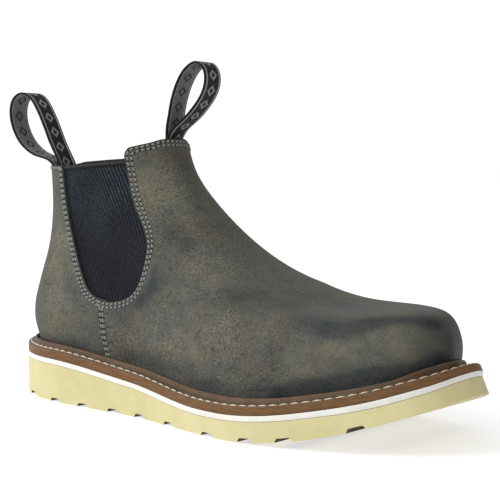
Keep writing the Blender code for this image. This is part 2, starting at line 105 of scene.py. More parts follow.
ANKLE_CENTRE_FRONT = 0.004
WALL = 0.0024
LAP_STEP = 0.0008
SEAM_X = 0.090
SEAM_Z = 0.057
SEAM_SLOPE = -0.20
GORE_EDGE = [
    # x, z of the cut-out's edge, from the back of the collar round to the front
    (0.0502, 0.1318),
    (0.0534, 0.1109),
    (0.0611, 0.0867),
    (0.0702, 0.0714),
    (0.0835, 0.0611),
    (0.0998, 0.0583),
    (0.1144, 0.0638),
    (0.1214, 0.0764),
    (0.1202, 0.0877),
    (0.1088, 0.1044),
    (0.0986, 0.1194),
    (0.0925, 0.1345),
]
VAMP_CORNER = [(0.0918, 0.1378), (0.0927, 0.1411), (0.0965, 0.1446)]
GORE_LAP = 0.0065
GORE_DEPTH = 0.0025
GORE_THICK = 0.0015

# Pull loops, as in the part's source: the webbing's middle line seen from the side
WEBBING_WIDTH = 0.0175
WEBBING_THICK = 0.0012
FRONT_LOOP_Y = 0.0105
FRONT_LOOP_TURN = 0.0021
FRONT_LOOP_BOW = -0.0016
FRONT_LOOP_SEWN = (0.146, 0.160)
FRONT_LOOP = [
    (0.1048, 0.1330),
    (0.1012, 0.1450),
    (0.1034, 0.1497),
    (0.1107, 0.1556),
    (0.1192, 0.1628),
    (0.1251, 0.1694),
    (0.1287, 0.1790),
    (0.1267, 0.1862),
    (0.1212, 0.1898),
    (0.1150, 0.1885),
    (0.1102, 0.1851),
    (0.1052, 0.1785),
    (0.1015, 0.1705),
    (0.0990, 0.1612),
    (0.0980, 0.1530),
    (0.0988, 0.1450),
    (0.1024, 0.1330),
]
BACK_LOOP_Y = -0.010
BACK_LOOP_TURN = 0.0026
BACK_LOOP_BOW = 0.0018
BACK_LOOP_SEWN = (0.131, 0.145)
BACK_LOOP = [
    (0.0275, 0.1180),
    (0.0269, 0.1300),
    (0.0222, 0.1346),
    (0.0095, 0.1380),
    (-0.0004, 0.1432),
    (-0.0060, 0.1490),
    (-0.0096, 0.1557),
    (-0.0108, 0.1625),
    (-0.0088, 0.1688),
    (-0.0025, 0.1721),
    (0.0040, 0.1704),
    (0.0082, 0.1665),
    (0.0122, 0.1610),
    (0.0164, 0.1540),
    (0.0206, 0.1462),
    (0.0250, 0.1380),
    (0.0292, 0.1300),
    (0.0299, 0.1180),
]


# Curves

def eased(rows, at):
    """A smooth curve through a table's rows that never swings past them, held level outside."""
    knots, values = np.array(rows).T
    steps = np.diff(knots)
    rises = np.diff(values) / steps
    slopes = np.zeros(len(knots))
    for i in range(1, len(knots) - 1):
        if rises[i - 1] * rises[i] > 0:
            slopes[i] = 2 * rises[i - 1] * rises[i] / (rises[i - 1] + rises[i])
    at = np.clip(at, knots[0], knots[-1])
    i = np.clip(np.searchsorted(knots, at) - 1, 0, len(steps) - 1)
    t = (at - knots[i]) / steps[i]
    near = (1 + 2 * t) * (1 - t) ** 2 * values[i] + t * (1 - t) ** 2 * steps[i] * slopes[i]
    far = t * t * (3 - 2 * t) * values[i + 1] + t * t * (t - 1) * steps[i] * slopes[i + 1]
    return near + far


def spline(points, knots, at, closed=False):
    """A cubic spline through points at the knots; closed runs on from the last point to the first."""
    points = np.asarray(points, float)
    count = len(points)
    steps = np.diff(knots)
    system = np.eye(count)
    bends = np.zeros_like(points)
    for i in range(0 if closed else 1, count if closed else count - 1):
        before, after = steps[i - 1], steps[i]
        ahead = (i + 1) % count
        system[i] = 0
        system[i, i - 1] += before
        system[i, i] += 2 * (before + after)
        system[i, ahead] += after
        bends[i] = 6 * ((points[ahead] - points[i]) / after - (points[i] - points[i - 1]) / before)
    bends = np.linalg.solve(system, bends)
    i = np.clip(np.searchsorted(knots, at, side="right") - 1, 0, len(steps) - 1)
    ahead = (i + 1) % count
    step = steps[i][:, None]
    b = (at - knots[i])[:, None] / step
    a = 1 - b
    curve = a * points[i] + b * points[ahead]
    return curve + ((a**3 - a) * bends[i] + (b**3 - b) * bends[ahead]) * step**2 / 6


def curve_through(points, count, closed=False):
    """Points along a smooth curve through a table's points."""
    points = np.asarray(points, float)
    ends = np.vstack([points, points[:1]]) if closed else points
    chords = np.linalg.norm(np.diff(ends, axis=0), axis=1)
    knots = np.concatenate([[0], np.cumsum(chords)])
    at = np.linspace(0, knots[-1], count, endpoint=not closed)
    return spline(points, knots, at, closed)


def evenly(path, pitch):
    """Points along a path a pitch apart, measured along it."""
    lengths = np.concatenate([[0], np.cumsum(np.linalg.norm(np.diff(path, axis=0), axis=1))])
    at = np.linspace(0, lengths[-1], max(2, round(lengths[-1] / pitch) + 1))
    return np.column_stack([np.interp(at, lengths, column) for column in path.T])


def unit(vectors):
    """These vectors at a length of one."""
    return vectors / np.linalg.norm(vectors, axis=-1, keepdims=True)


def smoothly(value, start, end):
    """0 before start, 1 after end and an easy rise between them."""
    t = np.clip((value - start) / (end - start), 0, 1)
    return t * t * (3 - 2 * t)


def line_distance(points, line):
    """Distance of points from a line through several points."""
    best = np.full(len(points), np.inf)
    line = np.asarray(line, float)
    if len(line) == 1:
        line = np.vstack([line, line])
    for a, b in zip(line, line[1:]):
        run = b - a
        t = np.clip((points - a) @ run / max(run @ run, 1e-12), 0, 1)
        best = np.minimum(best, np.linalg.norm(points - a - t[:, None] * run, axis=1))
    return best


def loop_distance(flat, loop):
    """Distance from a closed loop seen from the side, positive inside it, and the nearest points on it."""
    best = np.full(len(flat), np.inf)
    nearest = np.zeros_like(flat)
    inside = np.zeros(len(flat), bool)
    for a, b in zip(loop, np.roll(loop, -1, axis=0)):
        run = b - a
        t = np.clip((flat - a) @ run / max(run @ run, 1e-14), 0, 1)
        near = a + t[:, None] * run
        gap = np.linalg.norm(flat - near, axis=1)
        closer = gap < best
        best[closer] = gap[closer]
        nearest[closer] = near[closer]
        if a[1] != b[1]:
            across = (a[1] > flat[:, 1]) != (b[1] > flat[:, 1])
            inside ^= across & (flat[:, 0] < a[0] + run[0] * (flat[:, 1] - a[1]) / run[1])
    return np.where(inside, best, -best), nearest


# Sole outlines

HALF_COLUMNS = 180
OUTLINE_SAMPLES = 2400


def side_halves(outline):
    """The outer and inner sides of a plan outline, each from heel to toe."""
    turned = np.roll(outline, -np.argmin(outline[:, 0]), axis=0)
    toe = np.argmax(turned[:, 0])
    first = turned[: toe + 1]
    second = np.vstack([turned[toe:], turned[:1]])[::-1]
    return (first, second) if first[:, 1].mean() < second[:, 1].mean() else (second, first)


def plan_loop(outline):
    """An outline as paired columns: the outer side from heel to toe, then the inner side back."""
    turn = (1 - np.cos(np.linspace(0, np.pi, HALF_COLUMNS + 1))) / 2
    rows = []
    for half in side_halves(outline):
        x = half[0, 0] + turn * (half[-1, 0] - half[0, 0])
        rows.append(np.column_stack([x, np.interp(x, half[:, 0], half[:, 1])]))
    outer, inner = rows
    return np.vstack([outer, inner[-2:0:-1]])


def set_in(outline, distance):
    """The outline moved inwards by a distance, which may differ from point to point."""
    along = unit(np.roll(outline, -1, axis=0) - np.roll(outline, 1, axis=0))
    inward = np.column_stack([-along[:, 1], along[:, 0]])
    return outline + inward * np.reshape(distance, (-1, 1))


def spring(x):
    ahead = np.clip((x - SPRING_START) / (TOE_X - SPRING_START), 0, None)
    return SPRING_HEIGHT * ahead**SPRING_POWER


def outsole_top(x):
    return spring(x) + eased(WEDGE, x)


def midsole_top(x):
    return outsole_top(x) + eased(MIDSOLE, x)


def welt_top(x):
    return midsole_top(x) + WELT_THICK


def welt_rim(x):
    return welt_top(x) - eased(LEDGE_DROP, x)


FINE_OUTLINE = curve_through(OUTLINE, OUTLINE_SAMPLES, closed=True)
FINE_FEATHER = set_in(FINE_OUTLINE, eased(FEATHER, FINE_OUTLINE[:, 0]))
FEATHER_SIDES = side_halves(FINE_FEATHER)
SOLE_EDGE = plan_loop(FINE_OUTLINE)
RIM_EDGE = set_in(SOLE_EDGE, eased(FLARE, SOLE_EDGE[:, 0]))
WELT_EDGE = set_in(RIM_EDGE, eased(WELT_LEAN, RIM_EDGE[:, 0]))
FEATHER_EDGE = plan_loop(FINE_FEATHER)

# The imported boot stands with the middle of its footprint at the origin
SHIFT = np.array([
    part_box("outsole")[1].x - FINE_OUTLINE[:, 0].max(),
    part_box("pull_loop_front")[0].y - (FRONT_LOOP_Y - WEBBING_WIDTH / 2),
    0.0,
])


# Last

SEAM_SEARCH = 400
SECTION_SEARCH = 32
GORE_LINE_SAMPLES = 420
GORE_EDGE_SAMPLES = 240


def sections_at(rows):
    """Columns of the section table at places in it: back and front points, girth and ankle share."""
    return spline(SECTIONS, np.arange(len(SECTIONS)), np.atleast_1d(rows)).T


def last_points(rows, share, side):
    """Points of the last at shares of the way from the heel line to the crest, on one side or the other."""
    rows, share, side = np.broadcast_arrays(np.asarray(rows, float), share, side)
    back_x, back_z, front_x, front_z, girth, ankle = sections_at(rows)
    widths = []
    for foot in FEATHER_SIDES:
        foot_x = foot[0, 0] + share * (foot[-1, 0] - foot[0, 0])
        widths.append(np.interp(foot_x, foot[:, 0], foot[:, 1]))
    foot_y = np.where(side < 0, *widths)
    centre = ANKLE_CENTRE_BACK + share * (ANKLE_CENTRE_FRONT - ANKLE_CENTRE_BACK)
    oval_y = centre + side * ANKLE_HALF_WIDTH * np.sqrt(np.clip(1 - (2 * share - 1) ** 2, 0, 1))
    x = back_x + share * (front_x - back_x)
    y = (1 - ankle) * girth * foot_y + ankle * oval_y
    z = back_z + share * (front_z - back_z)
    first, last = SECTIONS[0], SECTIONS[-1]
    near_welt = np.clip(1 - rows / FEATHER_FADE_ROWS, 0, 1)
    z = z + near_welt * (welt_top(x) + FIT_GAP - first[1] - share * (first[3] - first[1]))
    near_collar = np.clip(1 - (TOP_ROW - rows) / COLLAR_FADE_ROWS, 0, 1) ** 2
    z = z + near_collar * (eased(COLLAR, share) - last[1] - share * (last[3] - last[1]))
    return np.column_stack([x, y, z])


def rows_at(x, z):
    """The section and share whose point of the last is seen at a place from the side."""
    low = np.zeros(len(x))
    high = np.full(len(x), float(TOP_ROW))
    for _ in range(SECTION_SEARCH):
        rows = (low + high) / 2
        back_x, _, front_x = sections_at(rows)[:3]
        share = np.clip((x - back_x) / (front_x - back_x), 0, 1)
        below = last_points(rows, share, -1)[:, 2] < z
        low = np.where(below, rows, low)
        high = np.where(below, high, rows)
    return rows, share


def last_normals(rows, share, side):
    """Outward normals of the last."""
    reach = 1e-3
    up = last_points(np.minimum(rows + reach, TOP_ROW), share, side)
    up = up - last_points(np.maximum(rows - reach, 0), share, side)
    along = last_points(rows, np.minimum(share + reach, 1), side)
    along = along - last_points(rows, np.maximum(share - reach, 0), side)
    return unit(np.cross(along, up) * -np.reshape(side, (-1, 1)))


def on_wall(flat, side, depth=0.0):
    """Points this deep in the last's wall at places seen from the side, and the wall's normals there."""
    side = np.broadcast_to(side, len(flat))
    rows, share = rows_at(flat[:, 0], flat[:, 1])
    normals = last_normals(rows, share, side)
    return last_points(rows, share, side) - normals * np.reshape(depth, (-1, 1)), normals


def seam_x(z):
    """Where the front piece's edge crosses a height, seen from the side."""
    return SEAM_X + SEAM_SLOPE * (z - SEAM_Z)


def seam_share(row):
    """The share at which this section crosses the lapped seam."""
    shares = np.linspace(0, 1, SEAM_SEARCH)
    points = last_points(row, shares, -1)
    return np.interp(0, points[:, 0] - seam_x(points[:, 2]), shares)


def outward(edge):
    """The side that a line seen from the side has on its right, as it runs back to front round the gore."""
    along = unit(np.gradient(edge, axis=0))
    return np.column_stack([along[:, 1], -along[:, 0]])


GORE_LINE = curve_through(GORE_EDGE + VAMP_CORNER, GORE_LINE_SAMPLES)
GORE_OUT = outward(GORE_LINE)
GORE_LOWEST = np.argmin(GORE_LINE[:, 1])
JUNCTION = np.argmin(np.abs(GORE_LINE[:GORE_LOWEST, 0] - seam_x(GORE_LINE[:GORE_LOWEST, 1])))
JUNCTION_Z = GORE_LINE[JUNCTION, 1]


# Hand tools

SLIVER = 5e-6


def deselect():
    bpy.ops.object.select_all(action="DESELECT")


def pick(piece):
    deselect()
    piece.select_set(True)
    bpy.context.view_layer.objects.active = piece


def lay(piece, points):
    """Lays a piece's points at places given in the last's frame."""
    piece.data.vertices.foreach_set("co", np.ravel(np.asarray(points, float).reshape(-1, 3) + SHIFT))
    piece.data.update()


def places_of(piece):
    """A piece's points in the last's frame."""
    flat = np.empty(3 * len(piece.data.vertices))
    piece.data.vertices.foreach_get("co", flat)
    return flat.reshape(-1, 3) - SHIFT


def bring_in(name, data):
    """A new object with this data, in the scene."""
    item = bpy.data.objects.new(name, data)
    bpy.context.collection.objects.link(item)
    return item


def upper_points(piece):
    """Which of a small model's points are above its middle."""
    return np.array([vertex.co.z > 0 for vertex in piece.data.vertices])


def sheet_of(name, points):
    """A grid primitive with its rows and columns laid at these points."""
    rows, columns = points.shape[:2]
    deselect()
    bpy.ops.mesh.primitive_grid_add(x_subdivisions=columns - 1, y_subdivisions=rows - 1, size=0.1)
    piece = bpy.context.object
    piece.name = name
    piece.data.name = name
    lay(piece, points)
    return piece


def edit(piece, action="SELECT", kind="VERT"):
    """Goes into edit mode with everything selected, or nothing."""
    pick(piece)
    bpy.ops.object.mode_set(mode="EDIT")
    bpy.ops.mesh.select_mode(type=kind)
    bpy.ops.mesh.select_all(action=action)


def leave():
    """Goes back to object mode."""
    bpy.ops.object.mode_set(mode="OBJECT")


def choose(piece, chosen, kind="VERT"):
    """Goes into edit mode with these points, or these faces, selected."""
    edit(piece, "DESELECT", kind)
    leave()
    items = piece.data.vertices if kind == "VERT" else piece.data.polygons
    items.foreach_set("select", np.asarray(chosen, bool))
    bpy.ops.object.mode_set(mode="EDIT")


def mend(piece, gap=2e-5):
    """Merges doubles and turns the faces outwards."""
    edit(piece)
    bpy.ops.mesh.remove_doubles(threshold=gap)
    bpy.ops.mesh.normals_make_consistent(inside=False)
    leave()


def drop_slivers(piece):
    """Takes out the edges and faces that are too small to see."""
    edit(piece)
    bpy.ops.mesh.dissolve_degenerate(threshold=SLIVER)
    leave()


def put_values(piece, name, values):
    layer = piece.data.attributes.new(name, "FLOAT", "POINT")
    layer.data.foreach_set("value", np.asarray(values, np.float32))


def weigh(piece, name, weights):
    """A vertex group with a weight for each point."""
    group = piece.vertex_groups.new(name=name)
    for i in np.flatnonzero(weights):
        group.add([int(i)], float(weights[i]), "REPLACE")


def modify(piece, kind, **settings):
    """Adds a modifier with these settings and applies it."""
    pick(piece)
    modifier = piece.modifiers.new(kind.lower(), kind)
    for key, value in settings.items():
        setattr(modifier, key, value)
    bpy.ops.object.modifier_apply(modifier=modifier.name)


def give_wall(piece, thickness, finishes, **settings):
    """Thickens a sheet inwards, with places for one finish, for face and back, or for the cut edge too."""
    for _ in range(finishes):
        piece.data.materials.append(None)
    back = 1 if finishes > 1 else 0
    cut = 2 if finishes > 2 else 0
    modify(piece, "SOLIDIFY", thickness=thickness, offset=-1, use_rim=True, material_offset=back,
           material_offset_rim=cut, **settings)


def round_cuts(piece, width):
    """Rounds a wall's cut edges and shades the rest smooth."""
    modify(piece, "BEVEL", width=width, segments=2, limit_method="ANGLE", angle_limit=np.radians(50))
    smooth(piece, 50)


def smooth(piece, degrees):
    pick(piece)
    bpy.ops.object.shade_smooth_by_angle(angle=np.radians(degrees))


def settle(piece, materials, nodes=()):
    """Gives a finished piece its materials and its place on the boot, and hides the model's parts that it
    stands for.
    """
    slots = piece.data.materials
    for place, material in enumerate(materials):
        if place < len(slots):
            slots[place] = material
        else:
            slots.append(material)
    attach(piece, "root")
    if nodes:
        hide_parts(*nodes)


# Finishes

class Finish:
    """A material's nodes, with short calls for those that the boot's finishes share."""

    def __init__(self, name, roughness=0.6, specular=0.5):
        self.material = bpy.data.materials.new(name)
        self.material.use_nodes = True
        self.tree = self.material.node_tree
        self.shader = self.tree.nodes["Principled BSDF"]
        self.shader.inputs["Roughness"].default_value = roughness
        self.shader.inputs["Specular IOR Level"].default_value = specular
        self.place = self.node("ShaderNodeTexCoord").outputs["Object"]
        self.normal = None

    def node(self, kind, **settings):
        item = self.tree.nodes.new(kind)
        for key, value in settings.items():
            setattr(item, key, value)
        return item

    def feed(self, socket, value):
        if isinstance(value, bpy.types.NodeSocket):
            self.tree.links.new(value, socket)
        elif value is not None:
            socket.default_value = value

    def math(self, operation, a, b=None, c=None):
        item = self.node("ShaderNodeMath", operation=operation)
        for socket, value in zip(item.inputs, (a, b, c)):
            self.feed(socket, value)
        return item.outputs[0]

    def stretched(self, scale, turn=(0.0, 0.0, 0.0), place=None):
        item = self.node("ShaderNodeMapping")
        item.inputs["Scale"].default_value = scale
        item.inputs["Rotation"].default_value = turn
        self.feed(item.inputs["Vector"], place or self.place)
        return item.outputs[0]

    def noise(self, scale, detail=3.0, rough=0.5, warp=0.0, place=None):
        item = self.node("ShaderNodeTexNoise")
        item.inputs["Scale"].default_value = scale
        item.inputs["Detail"].default_value = detail
        item.inputs["Roughness"].default_value = rough
        item.inputs["Distortion"].default_value = warp
        self.feed(item.inputs["Vector"], place or self.place)
        return item.outputs["Fac"]

    def cells(self, scale, feature="F1", place=None):
        item = self.node("ShaderNodeTexVoronoi", feature=feature)
        item.inputs["Scale"].default_value = scale
        self.feed(item.inputs["Vector"], place or self.place)
        return item.outputs["Distance"]

    def spread(self, value, low, high, to_low=0.0, to_high=1.0, kind="SMOOTHSTEP"):
        item = self.node("ShaderNodeMapRange", interpolation_type=kind)
        for socket, number in zip(item.inputs, (value, low, high, to_low, to_high)):
            self.feed(socket, number)
        return item.outputs[0]

    def ramp(self, value, stops):
        item = self.node("ShaderNodeValToRGB")
        elements = item.color_ramp.elements
        while len(elements) < len(stops):
            elements.new(0.5)
        for element, (position, colour) in zip(elements, stops):
            element.position = position
            element.color = (*colour, 1.0)
        self.feed(item.inputs[0], value)
        return item.outputs[0]

    def tones(self, value, low, high, start=0.3, end=0.7):
        """Two tones, one up to the start and one from the end, where one number is a grey."""
        low, high = [tone if isinstance(tone, tuple) else (tone, tone, tone) for tone in (low, high)]
        return self.ramp(value, [(start, low), (end, high)])

    def times(self, share, colour, by):
        return self.mix(share, colour, by, "MULTIPLY")

    def waves(self, value, count):
        return self.math("SINE", self.math("MULTIPLY", value, 2 * np.pi * count))

    def centred(self, value, middle=0.5):
        return self.math("SUBTRACT", value, middle)

    def mix(self, share, a, b, blend="MIX"):
        item = self.node("ShaderNodeMix", data_type="RGBA", blend_type=blend)
        self.feed(item.inputs["Factor"], share)
        for socket, value in ((item.inputs[6], a), (item.inputs[7], b)):
            self.feed(socket, (*value, 1.0) if isinstance(value, tuple) else value)
        return item.outputs[2]

    def value_of(self, name):
        return self.node("ShaderNodeAttribute", attribute_name=name).outputs["Fac"]

    def parts_of(self, vector):
        item = self.node("ShaderNodeSeparateXYZ")
        self.feed(item.inputs[0], vector)
        return item.outputs

    def web_place(self):
        return self.node("ShaderNodeUVMap", uv_map="UVMap").outputs[0]

    def colour(self, value):
        self.feed(self.shader.inputs["Base Color"], value)

    def roughness(self, value):
        self.feed(self.shader.inputs["Roughness"], value)

    def relief(self, height, depth, strength=1.0):
        """Adds a layer of bump, its height in metres."""
        item = self.node("ShaderNodeBump")
        item.inputs["Strength"].default_value = strength
        item.inputs["Distance"].default_value = depth
        self.feed(item.inputs["Height"], height)
        self.feed(item.inputs["Normal"], self.normal)
        self.normal = item.outputs[0]
        self.feed(self.shader.inputs["Normal"], self.normal)


STITCH_ROWS = (0.0014, 0.0032)
MIDDLE_TONE = 0.55
TOE_STRETCH_X = (0.055, 0.115)
DARK_CUT = (0.00025, 0.0006)


def waxed_leather():
    """Grey-olive pull-up leather: cloudy colour, dark rubbed places with painted shade and painted highlights
    among them, sandy grain and a waxy sheen.
    """
    f = Finish("waxed_leather", specular=0.10)
    wear_and_painted_light = f.value_of("wear_and_painted_light")
    edge = f.value_of("edge_distance")
    clouds = f.noise(26, 6, 0.6, 0.7)
    blotches = f.noise(95, 6, 0.65, 0.5)
    streaks = f.noise(1.0, 5, 0.62, 0.5, f.stretched((50, 65, 170), (0.0, 0.3, 0.0)))
    tone = MIDDLE_TONE
    for layer, strength in ((clouds, 0.50), (blotches, 0.45), (streaks, 0.42)):
        tone = f.math("MULTIPLY_ADD", f.centred(layer), strength, tone)
    # The marks darken and pale the leather, painted shade and painted highlights among them, broken up by the
    # blotches
    broken = f.math("MULTIPLY", wear_and_painted_light, f.spread(blotches, 0.30, 0.65, 0.60, 1.20))
    tone = f.math("MULTIPLY_ADD", broken, 0.55, tone)
    colour = f.ramp(tone, [
        (0.00, (0.021, 0.0245, 0.0255)),
        (0.25, (0.038, 0.041, 0.040)),
        (0.50, (0.069, 0.067, 0.057)),
        (0.75, (0.095, 0.091, 0.073)),
        (1.00, (0.120, 0.114, 0.089)),
    ])
    sand = f.noise(820, 3, 0.8)
    speck = f.noise(1500, 2, 0.6)
    tint = f.tones(f.noise(48, 4, 0.6), (0.93, 0.985, 1.05), (1.04, 1.015, 0.95), 0.37, 0.63)
    colour = f.times(1.0, colour, tint)
    stretched_toe = f.spread(f.parts_of(f.place)[0], *TOE_STRETCH_X, 1.0, 0.40)
    gritty = f.spread(f.noise(38, 3, 0.6), 0.38, 0.62, 0.30, 0.85)
    gritty = f.math("MULTIPLY", gritty, stretched_toe)
    colour = f.times(gritty, colour, f.tones(sand, (0.20, 0.20, 0.21), (1.80, 1.80, 1.74), 0.28, 0.72))
    specks = f.math("MULTIPLY", stretched_toe, 0.65)
    colour = f.times(specks, colour, f.tones(speck, 0.45, 1.5))
    scuffs = f.spread(f.noise(170, 5, 0.7, 1.6), 0.57, 0.68, 0.0, 0.70)
    scuffs = f.math("MULTIPLY", scuffs, stretched_toe)
    colour = f.mix(scuffs, colour, (0.026, 0.028, 0.027))
    raw = f.spread(edge, *DARK_CUT, 1.0, 0.0)
    colour = f.mix(f.math("MULTIPLY", raw, 0.8), colour, (0.012, 0.012, 0.011))
    f.colour(colour)
    f.roughness(f.spread(f.math("ADD", tone, f.math("MULTIPLY", sand, 0.4)), 0.2, 1.2, 0.48, 0.75))
    grain = f.math("ADD", f.cells(1000, "SMOOTH_F1"), f.math("MULTIPLY", f.noise(420, 4, 0.6), 1.2))
    f.relief(grain, 0.00030, 0.6)
    f.relief(f.noise(150, 4, 0.55), 0.0006, 0.4)
    for row in STITCH_ROWS:
        away = f.math("ABSOLUTE", f.centred(edge, row))
        f.relief(f.spread(away, 0.0003, 0.0010), 0.0004, 0.8)
    return f.material


def raw_edge():
    """The leather's cut edge: dark, with the fibres showing."""
    f = Finish("raw_edge", 0.8, 0.3)
    fibres = f.noise(1.0, 4, 0.6, 0.3, f.stretched((700, 700, 2600)))
    f.colour(f.tones(fibres, (0.020, 0.019, 0.017), (0.052, 0.047, 0.040), end=0.75))
    f.relief(fibres, 0.0002, 0.5)
    return f.material


def lining():
    """Soft undyed pigskin inside the upper."""
    f = Finish("lining", 0.85, 0.25)
    clouds = f.noise(60, 5, 0.6)
    pores = f.spread(f.cells(1300), 0.08, 0.3)
    colour = f.tones(clouds, (0.17, 0.135, 0.10), (0.27, 0.22, 0.165))
    f.colour(f.mix(f.math("SUBTRACT", 1.0, pores), colour, (0.10, 0.08, 0.06)))
    f.relief(f.math("ADD", pores, f.noise(900, 3)), 0.00015, 0.5)
    return f.material


RIB_PITCH = 0.00175
RIB_ACROSS = (0.838, 0.546)
RIB_TURN = np.radians(-33)
PAINTED_SHEEN_Z = (0.085, 0.135)


def ribbed_elastic():
    """Black elastic: leaning ribs with a fine weave across them, painted shade in the ribs' valleys, painted
    light on their crests and a painted sheen towards the top.
    """
    f = Finish("ribbed_elastic", 0.80, 0.14)
    crest = f.value_of("rib")
    turned = f.stretched((1.0, 1.0, 1.0), (0.0, RIB_TURN, 0.0))
    weave = f.noise(1.0, 2, 0.5, 0.0, f.stretched((700, 700, 900), place=turned))
    # Painted shade and light: the ribs' valleys darker and their crests lighter
    colour = f.ramp(crest, [
        (0.0, (0.003, 0.004, 0.005)),
        (0.5, (0.006, 0.008, 0.011)),
        (1.0, (0.018, 0.022, 0.028)),
    ])
    colour = f.times(1.0, colour, f.tones(f.noise(45, 4), (0.70, 0.70, 0.72), (1.30, 1.30, 1.28)))
    # Painted sheen: the elastic paler towards its top
    colour = f.times(1.0, colour, f.tones(f.parts_of(f.place)[2], 0.72, (1.70, 1.76, 1.76), *PAINTED_SHEEN_Z))
    f.colour(f.times(0.5, colour, f.tones(weave, 0.15, 2.0, 0.35, 0.65)))
    f.relief(weave, 0.00015, 0.6)
    return f.material


TWILL_TURN = 0.7
TWILL_PER_METRE = 1400


def binding_tape():
    """Black tape folded over the elastic's top edge, with a painted highlight along one fold line."""
    f = Finish("binding", 0.70, 0.20)
    across, _, _ = f.parts_of(f.stretched((1, 1, 1), (0.0, TWILL_TURN, 0.0)))
    twill = f.waves(across, TWILL_PER_METRE)
    colour = f.tones(f.noise(300, 3), (0.004, 0.004, 0.005), (0.010, 0.011, 0.012))
    # Painted highlight along the fold line
    f.colour(f.mix(f.value_of("line"), colour, (0.075, 0.078, 0.080)))
    f.relief(twill, 0.00012, 0.5)
    return f.material


WEFT_PICKS = 150
WARP_ENDS = 17
DIAMONDS = 15.0
STRIPE_INSIDE = (0.352, 0.360)
STRIPE_OUTSIDE = (0.430, 0.438)
BACK_BAND = (0.335, 0.345)
DIAMOND_WIDE = 3.6
DIAMOND_LONG = 2.4
DIAMOND_INSIDE = (0.40, 0.46)
DIAMOND_OUTSIDE = (0.86, 0.92)


def webbing_finish(name, back):
    """Woven tape: black ground, a grey stripe near each edge, small diamonds down the middle of the face."""
    f = Finish(name, 0.75, 0.20)
    across, along, _ = f.parts_of(f.web_place())
    off = f.math("ABSOLUTE", f.centred(across))
    picks = f.waves(along, WEFT_PICKS)
    ends = f.waves(across, WARP_ENDS)
    weave = f.math("ADD", f.math("MULTIPLY", picks, 0.5), f.math("MULTIPLY", ends, 0.5))
    stripe = f.math("MULTIPLY", f.spread(off, *STRIPE_INSIDE), f.spread(off, *STRIPE_OUTSIDE, 1.0, 0.0))
    step = f.math("ABSOLUTE", f.centred(f.math("FRACT", f.math("MULTIPLY", along, DIAMONDS))))
    diamond = f.math("ADD", f.math("MULTIPLY", off, DIAMOND_WIDE), f.math("MULTIPLY", step, DIAMOND_LONG))
    outer = f.spread(diamond, *DIAMOND_OUTSIDE, 1.0, 0.0)
    ring = f.math("MULTIPLY", f.spread(diamond, *DIAMOND_INSIDE), outer)
    if back:
        middle = f.spread(off, *BACK_BAND, 1.0, 0.0)
        pale = f.math("MAXIMUM", stripe, f.math("MULTIPLY", middle, f.spread(ring, 0.0, 1.0, 0.58, 0.10)))
    else:
        pale = f.math("MAXIMUM", stripe, f.math("MULTIPLY", ring, 0.75))
    colour = f.mix(pale, (0.006, 0.006, 0.007), (0.34, 0.345, 0.345))
    f.colour(f.times(0.5, colour, f.tones(weave, 0.45, 1.25, 0.1, 0.9)))
    f.relief(weave, 0.00025, 0.7)
    return f.material


def cream_crepe():
    """Pale foamed rubber: slightly cloudy, with fine pores."""
    f = Finish("cream_crepe", 0.65, 0.20)
    clouds = f.noise(45, 5, 0.6, 0.3)
    pores = f.spread(f.cells(850), 0.05, 0.22)
    colour = f.ramp(clouds, [
        (0.30, (0.500, 0.448, 0.232)),
        (0.52, (0.540, 0.487, 0.262)),
        (0.75, (0.575, 0.525, 0.300)),
    ])
    colour = f.mix(f.math("MULTIPLY", f.math("SUBTRACT", 1.0, pores), 0.35), colour, (0.36, 0.31, 0.15))
    f.colour(colour)
    f.relief(f.math("ADD", pores, f.noise(500, 4, 0.6)), 0.0002, 0.5)
    f.relief(f.noise(130, 2), 0.0004, 0.25)
    return f.material


def painted_groove_shade():
    """The tread's grooves, grey-brown: painted shade inside them."""
    f = Finish("painted_groove_shade", 0.9, 0.1)
    f.colour(f.tones(f.noise(400, 4), (0.055, 0.047, 0.028), (0.120, 0.106, 0.064)))
    f.relief(f.noise(700, 3), 0.0003, 0.5)
    return f.material


def white_foam():
    """White foam strip, faintly cloudy, with fine lines where it was trimmed."""
    f = Finish("white_foam", 0.55, 0.4)
    clouds = f.noise(70, 4, 0.6)
    lines = f.noise(1.0, 3, 0.6, 0.0, f.stretched((160, 160, 2600)))
    f.colour(f.tones(clouds, (0.64, 0.62, 0.575), (0.72, 0.70, 0.655)))
    f.relief(lines, 0.0002, 0.4)
    return f.material


def welt_leather():
    """Brown leather strip: a fibrous trimmed side and a greyer, dusty ledge."""
    f = Finish("welt_leather", 0.58, 0.2)
    ledge = f.value_of("ledge")
    fibres = f.noise(1.0, 5, 0.65, 0.2, f.stretched((120, 120, 1500)))
    clouds = f.noise(80, 4, 0.6, 0.3)
    side = f.ramp(fibres, [
        (0.28, (0.078, 0.036, 0.012)),
        (0.52, (0.138, 0.069, 0.026)),
        (0.78, (0.195, 0.106, 0.048)),
    ])
    top = f.ramp(clouds, [
        (0.30, (0.060, 0.039, 0.023)),
        (0.55, (0.090, 0.060, 0.037)),
        (0.80, (0.125, 0.089, 0.058)),
    ])
    f.colour(f.mix(ledge, side, top))
    f.relief(fibres, 0.0003, 0.5)
    f.relief(f.noise(900, 3), 0.00012, 0.4)
    return f.material


def thread(name, low, high):
    """Twisted thread."""
    f = Finish(name, 0.7, 0.35)
    twist = f.noise(2200, 2)
    f.colour(f.tones(twist, low, high, 0.35, 0.65))
    f.relief(twist, 0.0001, 0.5)
    return f.material


def needle_dark():
    """The shade inside a needle hole."""
    f = Finish("needle_hole", 0.9, 0.1)
    f.colour(f.tones(f.noise(1500, 2), 0.004, (0.010, 0.010, 0.009)))
    return f.material


